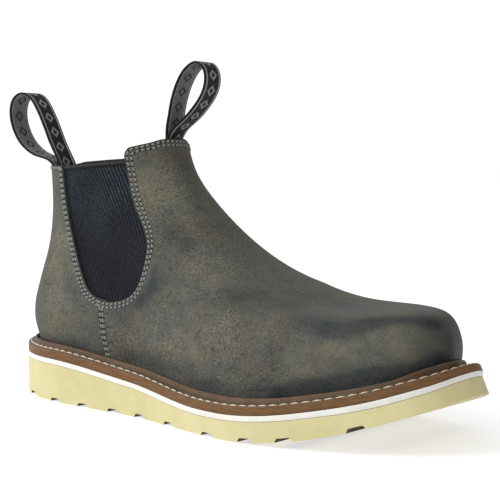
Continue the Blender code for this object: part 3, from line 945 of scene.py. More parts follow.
def footbed_cloth():
    """Dark footbed cover with a fine knit."""
    f = Finish("footbed", 0.9, 0.2)
    knit = f.cells(700)
    f.colour(f.tones(f.noise(50, 4), (0.055, 0.050, 0.044), (0.085, 0.078, 0.068)))
    f.relief(knit, 0.0003, 0.6)
    return f.material


FLOOR_GLOW = 0.60


def studio_white():
    """White paper that glows a little, so that it stays white up to the horizon."""
    f = Finish("studio_floor", 0.9, 0.1)
    f.colour(f.tones(f.noise(3, 2), 0.47, 0.49))
    f.shader.inputs["Emission Color"].default_value = (1.0, 1.0, 1.0, 1.0)
    f.shader.inputs["Emission Strength"].default_value = FLOOR_GLOW
    return f.material


LEATHER = waxed_leather()
RAW_EDGE = raw_edge()
LINING = lining()
ELASTIC = ribbed_elastic()
BINDING = binding_tape()
WEBBING = webbing_finish("woven_tape", False)
WEBBING_BACK = webbing_finish("woven_tape_back", True)
CREPE = cream_crepe()
GROOVE_SHADE = painted_groove_shade()
FOAM = white_foam()
WELT = welt_leather()
UPPER_THREAD = thread("upper_thread", (0.120, 0.129, 0.118), (0.23, 0.243, 0.226))
WELT_THREAD = thread("welt_thread", (0.46, 0.385, 0.29), (0.64, 0.55, 0.44))
NEEDLE_HOLE = needle_dark()
FOOTBED = footbed_cloth()


# Sole

SLAB_ROWS = 11
FIRST_LIFT = 0.0001
TREAD_ROUND = 0.0027
EDGE_ROUND = 0.0003
GROOVE_ROUND = 0.0007


def across_plan(edge, height):
    """Rows across a plan outline, from its outer to its inner side, at a height that follows the foot."""
    outer = edge[: HALF_COLUMNS + 1]
    inner = np.vstack([edge[:1], edge[:HALF_COLUMNS - 1:-1]])
    t = (1 - np.cos(np.linspace(0, np.pi, SLAB_ROWS))) / 2
    flat = outer + t[:, None, None] * (inner - outer)
    return np.dstack([flat, height(flat[..., 0])])


def slab(name, bottom, top):
    """A sheet at the bottom, extruded and fitted to the top, with its lower and upper rims in groups."""
    piece = sheet_of(name, bottom)
    mend(piece)
    edit(piece)
    bpy.ops.mesh.extrude_region_move(TRANSFORM_OT_translate={"value": (0, 0, FIRST_LIFT)})
    leave()
    lifted = np.empty(len(piece.data.vertices), bool)
    piece.data.vertices.foreach_get("select", lifted)
    tree = kdtree.KDTree(bottom.size // 3)
    for i, point in enumerate(bottom.reshape(-1, 3)):
        tree.insert(point, i)
    tree.balance()
    places = places_of(piece)
    targets = top.reshape(-1, 3)
    for i in np.flatnonzero(lifted):
        places[i] = targets[tree.find(places[i])[1]]
    lay(piece, places)
    mend(piece)
    ends = np.empty(2 * len(piece.data.edges), int)
    piece.data.edges.foreach_get("vertices", ends)
    ends = ends.reshape(-1, 2)
    uprights = ends[lifted[ends[:, 0]] != lifted[ends[:, 1]]]
    rim = np.zeros(len(lifted))
    rim[uprights.ravel()] = 1
    weigh(piece, "lower_rim", rim * ~lifted)
    weigh(piece, "upper_rim", rim * lifted)
    return piece


def round_rim(piece, rim, width, segments):
    """Rounds the edges of one of a piece's groups."""
    modify(piece, "BEVEL", width=width, segments=segments, limit_method="VGROUP", vertex_group=rim)


def groove_cutter():
    """One groove's bar, narrowed and rounded at its floor, copied to each groove and joined."""
    deselect()
    bpy.ops.mesh.primitive_cube_add(size=1)
    bar = bpy.context.object
    bar.scale = (GROOVE_MOUTH, 2 * GROOVE_REACH, 2 * GROOVE_DEPTH)
    bpy.ops.object.transform_apply(location=False, rotation=False, scale=True)
    high = upper_points(bar)
    narrowed = GROOVE_FLOOR / GROOVE_MOUTH
    for chosen, width in ((high, narrowed), (~high, 2 - narrowed)):
        choose(bar, chosen)
        bpy.ops.transform.resize(value=(width, 1, 1))
        leave()
    weigh(bar, "floor", high * 1.0)
    round_rim(bar, "floor", GROOVE_ROUND, 3)
    bars = []
    for x in GROOVES_X:
        tilt = np.arctan2(spring(x + GROOVE_MOUTH) - spring(x - GROOVE_MOUTH), 2 * GROOVE_MOUTH)
        copy = bar.copy()
        copy.data = bar.data.copy()
        bpy.context.collection.objects.link(copy)
        copy.location = np.array([x, 0.0, spring(x)]) + SHIFT
        copy.rotation_euler = (0, -tilt, 0)
        bars.append(copy)
    bpy.data.objects.remove(bar)
    deselect()
    for copy in bars:
        copy.select_set(True)
    bpy.context.view_layer.objects.active = bars[0]
    bpy.ops.object.join()
    bpy.ops.object.transform_apply(location=True, rotation=True, scale=True)
    return bpy.context.object


def make_outsole():
    piece = slab("wedge_sole", across_plan(SOLE_EDGE, spring), across_plan(RIM_EDGE, outsole_top))
    round_rim(piece, "lower_rim", TREAD_ROUND, 5)
    round_rim(piece, "upper_rim", EDGE_ROUND, 2)
    piece.data.materials.append(CREPE)
    cutter = groove_cutter()
    # The cutter's faces carry the painted groove shade into the grooves
    cutter.data.materials.append(GROOVE_SHADE)
    modify(piece, "BOOLEAN", operation="DIFFERENCE", solver="EXACT", material_mode="TRANSFER", object=cutter)
    bpy.data.objects.remove(cutter)
    drop_slivers(piece)
    smooth(piece, 40)
    settle(piece, [CREPE, GROOVE_SHADE], ["outsole"])


def make_midsole():
    low = across_plan(RIM_EDGE, lambda x: outsole_top(x) + FIT_GAP / 2)
    piece = slab("white_strip", low, across_plan(RIM_EDGE, midsole_top))
    for rim in ("lower_rim", "upper_rim"):
        round_rim(piece, rim, EDGE_ROUND, 2)
    smooth(piece, 40)
    settle(piece, [FOAM], ["midsole"])


FOOTBED_EDGE = 0.0028
FOOTBED_CUP = 0.0030
FOOTBED_CUP_FADE = 0.02


def make_footbed():
    """A cupped cover that reaches the upper's wall, over the narrower block inside the welt."""
    edge = set_in(FEATHER_EDGE, FOOTBED_EDGE)
    low = across_plan(edge, lambda x: welt_top(x) + FIT_GAP)
    top = across_plan(edge, lambda x: welt_top(x) + INSOLE_ABOVE_WELT)
    middle = (low[:1] + low[-1:]) / 2
    half = np.linalg.norm(low[:1] - low[-1:], axis=2, keepdims=True)[..., 0] / 2 + 1e-6
    away = np.linalg.norm(top[..., :2] - middle[..., :2], axis=2) / half
    top[..., 2] += FOOTBED_CUP * np.clip(away, 0, 1) ** 4 * smoothly(half, 0.0, FOOTBED_CUP_FADE)
    piece = slab("footbed", low, top)
    narrow = set_in(FEATHER_EDGE, INSOLE_EDGE)
    block_low = across_plan(narrow, lambda x: midsole_top(x) + FIT_GAP)
    block = slab("footbed_block", block_low, across_plan(narrow, lambda x: welt_top(x) + FIT_GAP))
    pick(piece)
    block.select_set(True)
    bpy.ops.object.join()
    smooth(piece, 40)
    settle(piece, [FOOTBED], ["insole"])


# Welt

BEAD_FOOT = 0.0031
BEAD = [
    # distance out from the feather line, height above the ledge
    (0.00310, 0.00010),
    (0.00295, 0.00070),
    (0.00265, 0.00140),
    (0.00225, 0.00190),
    (0.00180, 0.00205),
    (0.00135, 0.00190),
    (0.00095, 0.00140),
    (0.00060, 0.00060),
    (0.00030, 0.00000),
]
BEAD_RISE = 0.9
BEAD_RISE_X = (0.2740, 0.2880)
BEAD_FINISH = 0.75
WELT_INNER = 0.0050
WELT_SIDE = [
    # share of the way up the trimmed side, share of the ledge's finish
    (0.06, 0.0),
    (0.40, 0.0),
    (0.72, 0.0),
    (0.88, 0.1),
]
WELT_ROUND = 0.0003
WELT_ROUND_DROP = 0.0002
WELT_ROUND_FINISH = 0.6
LEDGE_START = 0.0007
LEDGE_END = 0.97
STITCH_IN = 0.0021
STITCH_IN_MOST = 0.5
CHANNEL_HALF = 0.0008
CHANNEL_HALF_MOST = 0.24
CHANNEL_START = 0.0009
CHANNEL = [
    # place across the channel, height in it
    (-1.0, 0.0),
    (-0.5, -0.0005),
    (0.0, -0.0007),
    (0.5, -0.0005),
    (1.0, 0.0),
]


def welt_columns():
    """For each column of the welt, its rim, its bead's foot and how far apart they are."""
    foot = set_in(FEATHER_EDGE, -BEAD_FOOT)
    ledge = np.linalg.norm(foot - WELT_EDGE, axis=1)
    return WELT_EDGE, foot, ledge


def stitch_channel():
    """The share of the ledge at which each column's stitches lie, and half the channel's share."""
    _, _, ledge = welt_columns()
    middle = np.minimum(STITCH_IN / ledge, STITCH_IN_MOST)
    return middle, np.minimum(CHANNEL_HALF / ledge, CHANNEL_HALF_MOST)


def raised(flat, height, extra=0.0):
    """A plan outline at a height that follows the foot."""
    return np.column_stack([flat, height(flat[:, 0]) + extra])


def on_side(share):
    """Points on the welt's trimmed side at a share of the way up from its bottom edge to its rim."""
    low = raised(RIM_EDGE, midsole_top, FIT_GAP / 2)
    return low + share * (raised(WELT_EDGE, welt_rim) - low)


def on_ledge(share, lift=0.0):
    """Points on the welt's ledge at shares of the way from its rim to the bead's foot."""
    rim, foot, _ = welt_columns()
    low = raised(rim, welt_rim, lift)
    return low + np.reshape(share, (-1, 1)) * (raised(foot, welt_top, lift) - low)


def make_welt():
    """A ring: trimmed side, ledge with a stitching channel, rounded bead and a lip under the upper."""
    _, _, ledge = welt_columns()
    middle, half = stitch_channel()
    inner = set_in(FEATHER_EDGE, WELT_INNER)
    loops = [(raised(set_in(RIM_EDGE, WELT_ROUND), midsole_top, FIT_GAP / 2), 0.0)]
    for share, finish in WELT_SIDE:
        loops.append((on_side(share), finish))
    loops.append((raised(set_in(WELT_EDGE, WELT_ROUND), welt_rim, -WELT_ROUND_DROP), WELT_ROUND_FINISH))
    loops.append((on_ledge(LEDGE_START / ledge), 1.0))
    for offset, drop in CHANNEL:
        loops.append((on_ledge(np.maximum(middle + offset * half, CHANNEL_START / ledge), drop), 1.0))
    loops.append((on_ledge(np.full(len(ledge), LEDGE_END)), 1.0))
    taller = 1 + BEAD_RISE * smoothly(FEATHER_EDGE[:, 0], *BEAD_RISE_X)
    for out, height in BEAD:
        loops.append((raised(set_in(FEATHER_EDGE, -out), welt_top, height * taller), BEAD_FINISH))
    loops.append((raised(inner, welt_top), 1.0))
    loops.append((raised(inner, midsole_top, FIT_GAP), 0.0))
    loops.append(loops[0])
    around = np.append(np.arange(len(RIM_EDGE)), 0)
    piece = sheet_of("welt_strip", np.array([points[around] for points, _ in loops]))
    put_values(piece, "ledge", np.repeat([share for _, share in loops], len(around)))
    mend(piece, 1e-6)
    smooth(piece, 50)
    settle(piece, [WELT], ["welt"])


# Stitches

STITCH_SINK = 1.1
WELT_PITCH = 0.0057
WELT_STITCH = (0.0051, 0.0008, 0.0007)
WELT_STITCH_BED = 0.0001
UPPER_PITCH = 0.0031
UPPER_STITCH = (0.0024, 0.0013, 0.0007)
UPPER_STITCH_LEAN = 0.22
HOLE_RADIUS = 0.00060
HOLE_SQUEEZE = (0.6, 0.6, 0.35)


def model_stitch(length, width, height):
    """One stitch along X: a short bar of thread, rounded at its ends and drawn down into its holes."""
    deselect()
    lying = (0, np.pi / 2, 0)
    bpy.ops.mesh.primitive_cylinder_add(vertices=8, radius=width / 2, depth=length, rotation=lying)
    piece = bpy.context.object
    bpy.ops.object.transform_apply(location=False, rotation=True, scale=False)
    edit(piece)
    bpy.ops.mesh.bisect(plane_co=(0, 0, 0), plane_no=(1, 0, 0))
    bpy.ops.mesh.select_all(action="SELECT")
    bpy.ops.transform.resize(value=(1, 1, 2 * height / width))
    leave()
    modify(piece, "BEVEL", width=width * 0.3, segments=2, limit_method="ANGLE", angle_limit=np.radians(60))
    for vertex in piece.data.vertices:
        vertex.co.z -= height * STITCH_SINK * (abs(vertex.co.x) / (length / 2)) ** 6
    return piece


def model_hole(radius):
    """One needle hole: a shallow dark dimple, its rim level with the leather."""
    deselect()
    bpy.ops.mesh.primitive_cylinder_add(vertices=8, radius=radius, depth=radius)
    piece = bpy.context.object
    choose(piece, upper_points(piece))
    bpy.ops.transform.resize(value=HOLE_SQUEEZE)
    leave()
    return piece


def repeat_along(name, model, spots, along, normals):
    """Copies of a small piece at these spots, turned along a row and up from its surface, as one mesh."""
    along = unit(along - normals * (along * normals).sum(axis=1)[:, None])
    sides = np.cross(normals, along)
    shape = np.array([vertex.co for vertex in model.data.vertices])
    faces = [list(face.vertices) for face in model.data.polygons]
    points = (spots[:, None] + shape[None, :, :1] * along[:, None] + shape[None, :, 1:2] * sides[:, None]
              + shape[None, :, 2:] * normals[:, None])
    all_faces = [[corner + i * len(shape) for corner in face] for i in range(len(spots)) for face in faces]
    mesh = bpy.data.meshes.new(name)
    mesh.from_pydata(points.reshape(-1, 3) + SHIFT, [], all_faces)
    piece = bring_in(name, mesh)
    bpy.data.objects.remove(model)
    smooth(piece, 60)
    return piece


def make_welt_stitches():
    """One row round the welt, in the ledge's channel."""
    path = on_ledge(stitch_channel()[0])
    spots = evenly(np.vstack([path, path[:1]]), WELT_PITCH)[:-1]
    along = unit(np.roll(spots, -1, axis=0) - np.roll(spots, 1, axis=0))
    side = np.column_stack([-along[:, 1], along[:, 0], np.zeros(len(along))])
    normals = unit(np.cross(along, side))
    stitch = model_stitch(*WELT_STITCH)
    piece = repeat_along("welt_stitches", stitch, spots - normals * WELT_STITCH_BED, along, normals)
    settle(piece, [WELT_THREAD])


# Upper

PANEL_ROWS = 92
FRONT_COLUMNS = 112
BACK_COLUMNS = 56
EDGE_COLUMNS_MM = 4
SEAM_LAP = 0.0070
SKIVED = 0.30
SKIVE_RUN = 0.004
LEATHER_ROUND = 0.00028
FOLD_FADE = 0.012
BACK_EDGE_SHOW = 0.0006
BACK_EDGE_SHOW_X = (-0.004, 0.002)
SEAM_TUCK = 0.0001
SEAM_TUCK_X = (-0.0015, 0.0)
FAR = 0.3
BELOW = -0.02
TRIM_SAMPLES = 60
TRIM_OVERLAP = 0.0005
LAP_OVERLAP = 0.001
GORE_FOOT_Z = 0.07

# Marks painted into the leather's tone: darker and paler leather, with painted shade and painted highlights
# among them
WEAR_AND_PAINTED_LIGHT = [
    # strength, reach, points along the mark in the last's frame
    (-0.42, 0.0055, [(0.1273, -0.0218, 0.1003), (0.1391, -0.0234, 0.0913)]),
    (-0.45, 0.0030, [(0.1255, -0.0060, 0.1110), (0.1331, -0.0017, 0.1068)]),
    # Painted light: the heel quarter paler, as lit from the heel's side
    (0.55, 0.0190, [(0.0450, -0.0340, 0.0780), (0.0560, -0.0390, 0.0450)]),
    (-0.40, 0.0035, [(0.0487, -0.0317, 0.0831), (0.0520, -0.0350, 0.0790)]),
    (-0.45, 0.0045, [(0.0620, -0.0390, 0.0640), (0.0700, -0.0405, 0.0600)]),
    (-0.40, 0.0060, [(0.1127, -0.0414, 0.0528), (0.1364, -0.0405, 0.0716)]),
    (-0.35, 0.0055, [(0.1844, -0.0382, 0.0657), (0.1946, -0.0269, 0.0686)]),
    (-0.36, 0.0085, [(0.2168, -0.0273, 0.0644), (0.2270, -0.0348, 0.0625), (0.2390, -0.0432, 0.0562)]),
    (-0.78, 0.0050, [(0.2461, -0.0408, 0.0566), (0.2557, -0.0371, 0.0571), (0.2668, -0.0270, 0.0619),
                     (0.2745, -0.0183, 0.0631), (0.2847, -0.0064, 0.0614)]),
    # Dark bands just above the welt: darker leather and painted shade where the upper meets the welt
    (-0.50, 0.0045, [(0.1650, -0.0505, 0.0230), (0.2250, -0.0500, 0.0235)]),
    (-0.80, 0.0048, [(0.2250, -0.0500, 0.0240), (0.2353, -0.0474, 0.0275), (0.2523, -0.0416, 0.0316),
                     (0.2682, -0.0342, 0.0368), (0.2789, -0.0261, 0.0379), (0.2888, -0.0089, 0.0421)]),
    # Painted shade over the toe's front end
    (-0.70, 0.0150, [(0.2859, 0.0080, 0.0603), (0.2894, 0.0070, 0.0536), (0.2898, 0.0080, 0.0453)]),
    # Two more dark bands just above the welt: darker leather and painted shade where the upper meets the welt
    (-0.50, 0.0055, [(0.1100, -0.0430, 0.0300), (0.1650, -0.0480, 0.0300)]),
    (-0.40, 0.0045, [(0.0450, -0.0400, 0.0310), (0.0800, -0.0430, 0.0310)]),
    (0.50, 0.0140, [(0.1596, -0.0295, 0.0771)]),
    (0.40, 0.0140, [(0.1842, -0.0508, 0.0518)]),
    (0.62, 0.0100, [(0.2352, -0.0475, 0.0440), (0.2468, -0.0432, 0.0480), (0.2578, -0.0384, 0.0500),
                    (0.2683, -0.0331, 0.0525), (0.2778, -0.0264, 0.0540)]),
    # Painted shade beside the stitch band at the gore's lower front edge
    (-0.45, 0.0030, [(0.1299, -0.0376, 0.0784), (0.1305, -0.0405, 0.0696), (0.1214, -0.0403, 0.0609)]),
    (0.40, 0.0120, [(0.1236, -0.0425, 0.0426), (0.1657, -0.0490, 0.0386)]),
    (0.40, 0.0120, [(0.0499, -0.0312, 0.0917)]),
    (0.80, 0.0170, [(0.1064, -0.0172, 0.1240), (0.1189, -0.0146, 0.1133)]),
    # Painted shade over the top of the toe
    (-0.35, 0.0130, [(0.2330, -0.0080, 0.0670), (0.2560, -0.0100, 0.0655)]),
    # Painted highlight along the toe's crest
    (0.35, 0.0040, [(0.2476, 0.0113, 0.0639), (0.2774, 0.0040, 0.0641)]),
    (-0.60, 0.0090, [(0.2250, 0.0330, 0.0600), (0.2480, 0.0380, 0.0540)]),
    # Painted shade on the toe's front end, carried low round the toe and back along the inner side above the
    # welt
    (-0.55, 0.0060, [(0.2880, 0.0000, 0.0421), (0.2890, 0.0080, 0.0424), (0.2860, 0.0180, 0.0420)]),
    (-0.60, 0.0085, [(0.2150, 0.0430, 0.0270), (0.2550, 0.0400, 0.0350), (0.2860, 0.0180, 0.0420)]),
    (-0.60, 0.0060, [(0.1300, 0.0300, 0.0900), (0.1420, 0.0320, 0.0800)]),
    (0.45, 0.0130, [(0.1700, 0.0330, 0.0600)]),
    (0.40, 0.0120, [(0.0500, 0.0300, 0.0800)]),
]

RIDGE_AWAY = 1.7
RIDGE_TIGHT = 1.6
RIDGE_HEIGHT = 0.45
CRISP = -0.7
DARKEST = -1.2
PALEST = 1.0

FOLDS = [
    # depth, half width, places along the fold: x, z, side
    (0.0004, 0.0035, [(0.1330, 0.0830, -1), (0.1325, 0.0900, -1), (0.1310, 0.0960, -1)]),
    (0.0004, 0.0040, [(0.1420, 0.0740, -1), (0.1435, 0.0800, -1), (0.1440, 0.0850, -1)]),
    (0.0004, 0.0045, [(0.2090, 0.0420, -1), (0.2110, 0.0500, -1), (0.2120, 0.0560, -1)]),
    (0.0004, 0.0050, [(0.2270, 0.0410, -1), (0.2290, 0.0480, -1), (0.2290, 0.0530, -1)]),
    (0.0004, 0.0040, [(0.0330, 0.0700, -1), (0.0420, 0.0800, -1), (0.0500, 0.0860, -1)]),
    (0.0004, 0.0040, [(0.0300, 0.0560, -1), (0.0450, 0.0560, -1), (0.0620, 0.0600, -1)]),
    (0.0004, 0.0040, [(0.0330, 0.0700, 1), (0.0420, 0.0790, 1), (0.0500, 0.0850, 1)]),
]


def fold_shift(points):
    """How far the soft folds press the leather in: each is a trough with a low ridge on each side."""
    shift = np.zeros(len(points))
    for depth, width, row in FOLDS:
        row = np.array(row)
        line, _ = on_wall(row[:, :2], row[:, 2])
        away = line_distance(points, line) / width
        ridge = np.exp(-((away - RIDGE_AWAY) ** 2) * RIDGE_TIGHT)
        shift += depth * (np.exp(-away**2) - RIDGE_HEIGHT * ridge)
    return shift


def wear_and_painted_light_at(points):
    """How much darker or paler the leather is painted at each point: darker and paler leather, painted shade
    and painted highlights; strong dark marks have a crisper edge.
    """
    tone = np.zeros(len(points))
    for strength, reach, line in WEAR_AND_PAINTED_LIGHT:
        sharpness = 4 if strength < CRISP else 2
        tone += strength * np.exp(-((line_distance(points, line) / reach) ** sharpness))
    return np.clip(tone, DARKEST, PALEST)


def snap_to(loop, grid, sides, depth):
    """Moves the points next to a trim line onto it. Returns the grid and how far each point is inside it."""
    shape = grid.shape[:2]
    flat = grid[..., [0, 2]].reshape(-1, 2)
    distance, nearest = loop_distance(flat, loop)
    distance = distance.reshape(shape)
    snapped = np.zeros(shape, bool)
    for gaps, marks in ((distance, snapped), (distance.T, snapped.T)):
        first = gaps[:-1]
        second = gaps[1:]
        crossing = first * second < 0
        near_first = crossing & (np.abs(first) <= np.abs(second))
        marks[:-1] |= near_first
        marks[1:] |= crossing & ~near_first
    chosen = snapped.ravel()
    points = grid.reshape(-1, 3).copy()
    points[chosen] = on_wall(nearest[chosen], sides.ravel()[chosen], depth.ravel()[chosen])[0]
    distance[snapped] = 0
    return points.reshape(grid.shape), distance


def cut_away(piece, distance):
    """Connects the points on the trim line and deletes what lies outside it."""
    distance = distance.ravel()
    choose(piece, distance == 0)
    bpy.ops.mesh.vert_connect()
    leave()
    choose(piece, distance < 0)
    bpy.ops.mesh.delete(type="VERT")
    leave()
    edit(piece, "DESELECT")
    bpy.ops.mesh.select_loose()
    bpy.ops.mesh.delete(type="VERT")
    leave()


def drop_flaps(piece, loop):
    """Deletes the faces that hang outside the trim line by corners that are all on it."""
    edge = np.zeros(len(piece.data.vertices), np.float32)
    piece.data.attributes["edge_distance"].data.foreach_get("value", edge)
    centres = np.array([face.center for face in piece.data.polygons]) - SHIFT
    outside = loop_distance(centres[:, [0, 2]], loop)[0] < 0
    on_line = [edge[list(face.vertices)].max() == 0 for face in piece.data.polygons]
    choose(piece, outside & on_line, "FACE")
    bpy.ops.mesh.delete(type="FACE")
    leave()


def grid_normals(grid):
    """Outward normals of a grid of points."""
    return unit(np.cross(np.gradient(grid, axis=1), np.gradient(grid, axis=0)))


def front_loop_line():
    """The front piece's trim line: up the seam, round the gore's front and over the corner."""
    seam = np.array([(seam_x(z), z) for z in np.linspace(BELOW, JUNCTION_Z - TRIM_OVERLAP, TRIM_SAMPLES)])
    edge = GORE_LINE[JUNCTION:]
    far = np.array([(edge[-1, 0], FAR), (2 * FAR, FAR), (2 * FAR, BELOW)])
    return np.vstack([seam, edge, far])


def back_loop_line():
    """The back piece's trim line: up under the front piece, back along the gore and up to the collar."""
    from_lap = np.abs(GORE_LINE[:, 0] - seam_x(GORE_LINE[:, 1]) - SEAM_LAP)
    lap_end = np.argmin(from_lap + (GORE_LINE[:, 1] > GORE_FOOT_Z))
    heights = np.linspace(BELOW, GORE_LINE[lap_end, 1] - LAP_OVERLAP, TRIM_SAMPLES)
    under = np.array([(seam_x(z) + SEAM_LAP, z) for z in heights])
    past_junction = GORE_LINE[:, 0] - GORE_LINE[JUNCTION, 0]
    show = BACK_EDGE_SHOW * smoothly(past_junction, *BACK_EDGE_SHOW_X)
    edge = (GORE_LINE - GORE_OUT * show[:, None])[lap_end::-1]
    far = np.array([(edge[-1, 0], FAR), (-FAR, FAR), (-FAR, BELOW)])
    return np.vstack([under, edge, far])


def collar_distance(grid):
    """How far each point of the grid is below the collar's edge, measured up the wall."""
    steps = np.linalg.norm(np.diff(grid, axis=0), axis=2)
    from_top = np.cumsum(steps[::-1], axis=0)[::-1]
    return np.vstack([from_top, np.zeros((1, grid.shape[1]))])


def make_panel(name, shares, sides, loop, depth_of, thickness, nodes):
    """One leather piece: a sheet on the last, trimmed, folded softly and given its thickness inwards."""
    rows = np.linspace(0, TOP_ROW, PANEL_ROWS)
    last = np.array([last_points(np.full(len(share), row), share, sides) for row, share in zip(rows, shares)])
    trimmed, distance = snap_to(loop, last, np.tile(sides, (PANEL_ROWS, 1)), np.zeros(last.shape[:2]))
    normals = grid_normals(last)
    from_edge = np.minimum(np.maximum(distance, 0), collar_distance(trimmed)).ravel()
    bare = trimmed.reshape(-1, 3)
    press = depth_of(bare) + fold_shift(bare) * smoothly(from_edge, 0.0, FOLD_FADE)
    points = bare - normals.reshape(-1, 3) * press[:, None]
    piece = sheet_of(name, points.reshape(last.shape))
    put_values(piece, "edge_distance", from_edge)
    # Darker and paler marks on the leather, painted shade and painted highlights among them
    put_values(piece, "wear_and_painted_light", wear_and_painted_light_at(bare))
    weigh(piece, "thickness", thickness(bare))
    cut_away(piece, distance)
    drop_flaps(piece, loop)
    give_wall(piece, WALL, 3, vertex_group="thickness")
    round_cuts(piece, LEATHER_ROUND)
    settle(piece, [LEATHER, LINING, RAW_EDGE], nodes)


def seam_shares(rows):
    """The seam's share in each section, with the share that a millimetre takes there."""
    back_x, _, front_x = sections_at(rows)[:3]
    return np.array([seam_share(row) for row in rows]), 0.001 / (front_x - back_x)


def make_front_leather():
    """The front piece: both sides from the seams over the crest, thinned where it laps the back piece."""
    rows = np.linspace(0, TOP_ROW, PANEL_ROWS)
    seams, millimetre = seam_shares(rows)
    turn = np.sin(np.linspace(0, np.pi / 2, FRONT_COLUMNS + 1))
    shares = []
    for start in seams - EDGE_COLUMNS_MM * millimetre:
        share = start + (1 - start) * turn
        shares.append(np.concatenate([share, share[-2::-1]]))
    sides = np.where(np.arange(2 * FRONT_COLUMNS + 1) <= FRONT_COLUMNS, -1, 1)

    def thickness(points):
        past_seam = points[:, 0] - seam_x(points[:, 2])
        return SKIVED + (1 - SKIVED) * smoothly(past_seam, SEAM_LAP, SEAM_LAP + SKIVE_RUN)

    def depth(points):
        return np.zeros(len(points))

    make_panel("front_leather", shares, sides, front_loop_line(), depth, thickness, ["upper"])


def make_back_leather():
    """The back piece: round the heel from seam to seam, a step lower than the front piece."""
    rows = np.linspace(0, TOP_ROW, PANEL_ROWS)
    seams, millimetre = seam_shares(rows)
    turn = 1 - np.cos(np.linspace(0, np.pi / 2, BACK_COLUMNS + 1))
    shares = []
    for end in seams + (1000 * SEAM_LAP + EDGE_COLUMNS_MM) * millimetre:
        share = end * turn
        shares.append(np.concatenate([share[::-1], share[1:]]))
    sides = np.where(np.arange(2 * BACK_COLUMNS + 1) <= BACK_COLUMNS, 1, -1)

    def depth(points):
        past_seam = points[:, 0] - seam_x(points[:, 2])
        return LAP_STEP + SEAM_TUCK * smoothly(past_seam, *SEAM_TUCK_X)

    def thickness(points):
        return np.full(len(points), (WALL - LAP_STEP) / WALL)

    make_panel("back_leather", shares, sides, back_loop_line(), depth, thickness, [])


ROW_HEIGHT_FRONT = 0.0165
ROW_HEIGHT_BACK = 0.0150
BACK_ROW_END_Z = 0.1292
CORNER_CUT = 0.6
FIRST_SHARE = 1e-4
SEAM_ROW_START = 0.0020
SEAM_ROW_END = 0.0052
BACK_ROW_SHARE = 0.30
COLLAR_SAMPLES = 300
SEAM_ROW_SAMPLES = 80
BACK_ROW_SAMPLES = 160


def along_section(row, share, side):
    """Points and normals of the last along one section."""
    rows = np.full(len(share), row)
    normals = last_normals(rows, np.maximum(share, FIRST_SHARE), np.full(len(share), side))
    return last_points(rows, share, side), normals


def stitch_path(inset, side):
    """A stitch row round one gore and along the collar to the crest, as points and normals on the leather."""
    collar = last_points(TOP_ROW, 1 - np.linspace(1, 0, COLLAR_SAMPLES) ** 2, side)
    collar_z = np.interp(GORE_LINE[:, 0], collar[:, 0], collar[:, 2])
    edge = GORE_LINE + GORE_OUT * inset
    ahead = np.arange(len(edge)) > GORE_LOWEST
    low = edge[:, 1] < np.where(ahead, collar_z - inset, BACK_ROW_END_Z)
    edge = edge[low]
    behind = edge[:, 0] < seam_x(edge[:, 1])
    points, normals = on_wall(edge, side, np.where(behind, LAP_STEP, 0.0))
    top = collar[collar[:, 0] > edge[-1, 0] + CORNER_CUT * inset]
    shares = np.clip((top[:, 0] - SECTIONS[-1][0]) / (SECTIONS[-1][2] - SECTIONS[-1][0]), 0, 1)
    top_points, top_normals = along_section(TOP_ROW - inset / ROW_HEIGHT_FRONT, shares, side)
    return np.vstack([points, top_points]), np.vstack([normals, top_normals])


def seam_path(inset, side):
    """A row down the lapped seam, from the gore to the welt."""
    z = np.linspace(welt_top(SEAM_X) + SEAM_ROW_START, JUNCTION_Z - SEAM_ROW_END, SEAM_ROW_SAMPLES)
    flat = np.column_stack([seam_x(z) + inset * np.hypot(1, SEAM_SLOPE), z])
    return on_wall(flat, side, 0.0)


def back_collar_path(inset):
    """A row round the back of the collar from one gore to the other."""
    share = np.linspace(0, 1, BACK_ROW_SAMPLES) ** 2 * BACK_ROW_SHARE
    parts = []
    for side in (-1, 1):
        points, normals = along_section(TOP_ROW - inset / ROW_HEIGHT_BACK, share, side)
        parts.append((points - normals * LAP_STEP, normals))
    outer, inner = parts
    return np.vstack([outer[0][::-1], inner[0][1:]]), np.vstack([outer[1][::-1], inner[1][1:]])


def make_upper_stitches():
    """Double rows round the gores, along the collar and down the seams, with needle holes between them."""
    paths = []
    for side in (-1, 1):
        for inset in STITCH_ROWS:
            paths.append(stitch_path(inset, side))
            paths.append(seam_path(inset, side))
    paths.append(back_collar_path(STITCH_ROWS[0]))
    stitches = []
    holes = []
    for points, normals in paths:
        # The normals come along scaled down, so that only the points count towards the length
        both = evenly(np.hstack([points, normals * 1e-6]), UPPER_PITCH / 2)
        place = both[:, :3]
        up = unit(both[:, 3:])
        run = unit(np.gradient(place, axis=0))
        leaning = run + UPPER_STITCH_LEAN * np.cross(up, run)
        stitches.append(np.hstack([place, leaning, up])[0::2])
        holes.append(np.hstack([place, run, up])[1::2])
    for name, model, rows, finish in (
        ("upper_stitches", model_stitch(*UPPER_STITCH), stitches, UPPER_THREAD),
        ("needle_holes", model_hole(HOLE_RADIUS), holes, NEEDLE_HOLE),
    ):
        spots, along, normals = np.hsplit(np.vstack(rows), 3)
        settle(repeat_along(name, model, spots, along, normals), [finish])


# Gores

RIB_STEPS = 6
RIB_HEIGHT = 0.00022
GORE_ALONG = 44
GORE_SPARE = 0.001
BINDING_LAP = 0.005
BINDING_COLUMNS = 60


def gore_edge(lap):
    """The cut-out's edge moved out by a lap."""
    edge = curve_through(GORE_EDGE, GORE_EDGE_SAMPLES)
    return edge + lap * outward(edge)


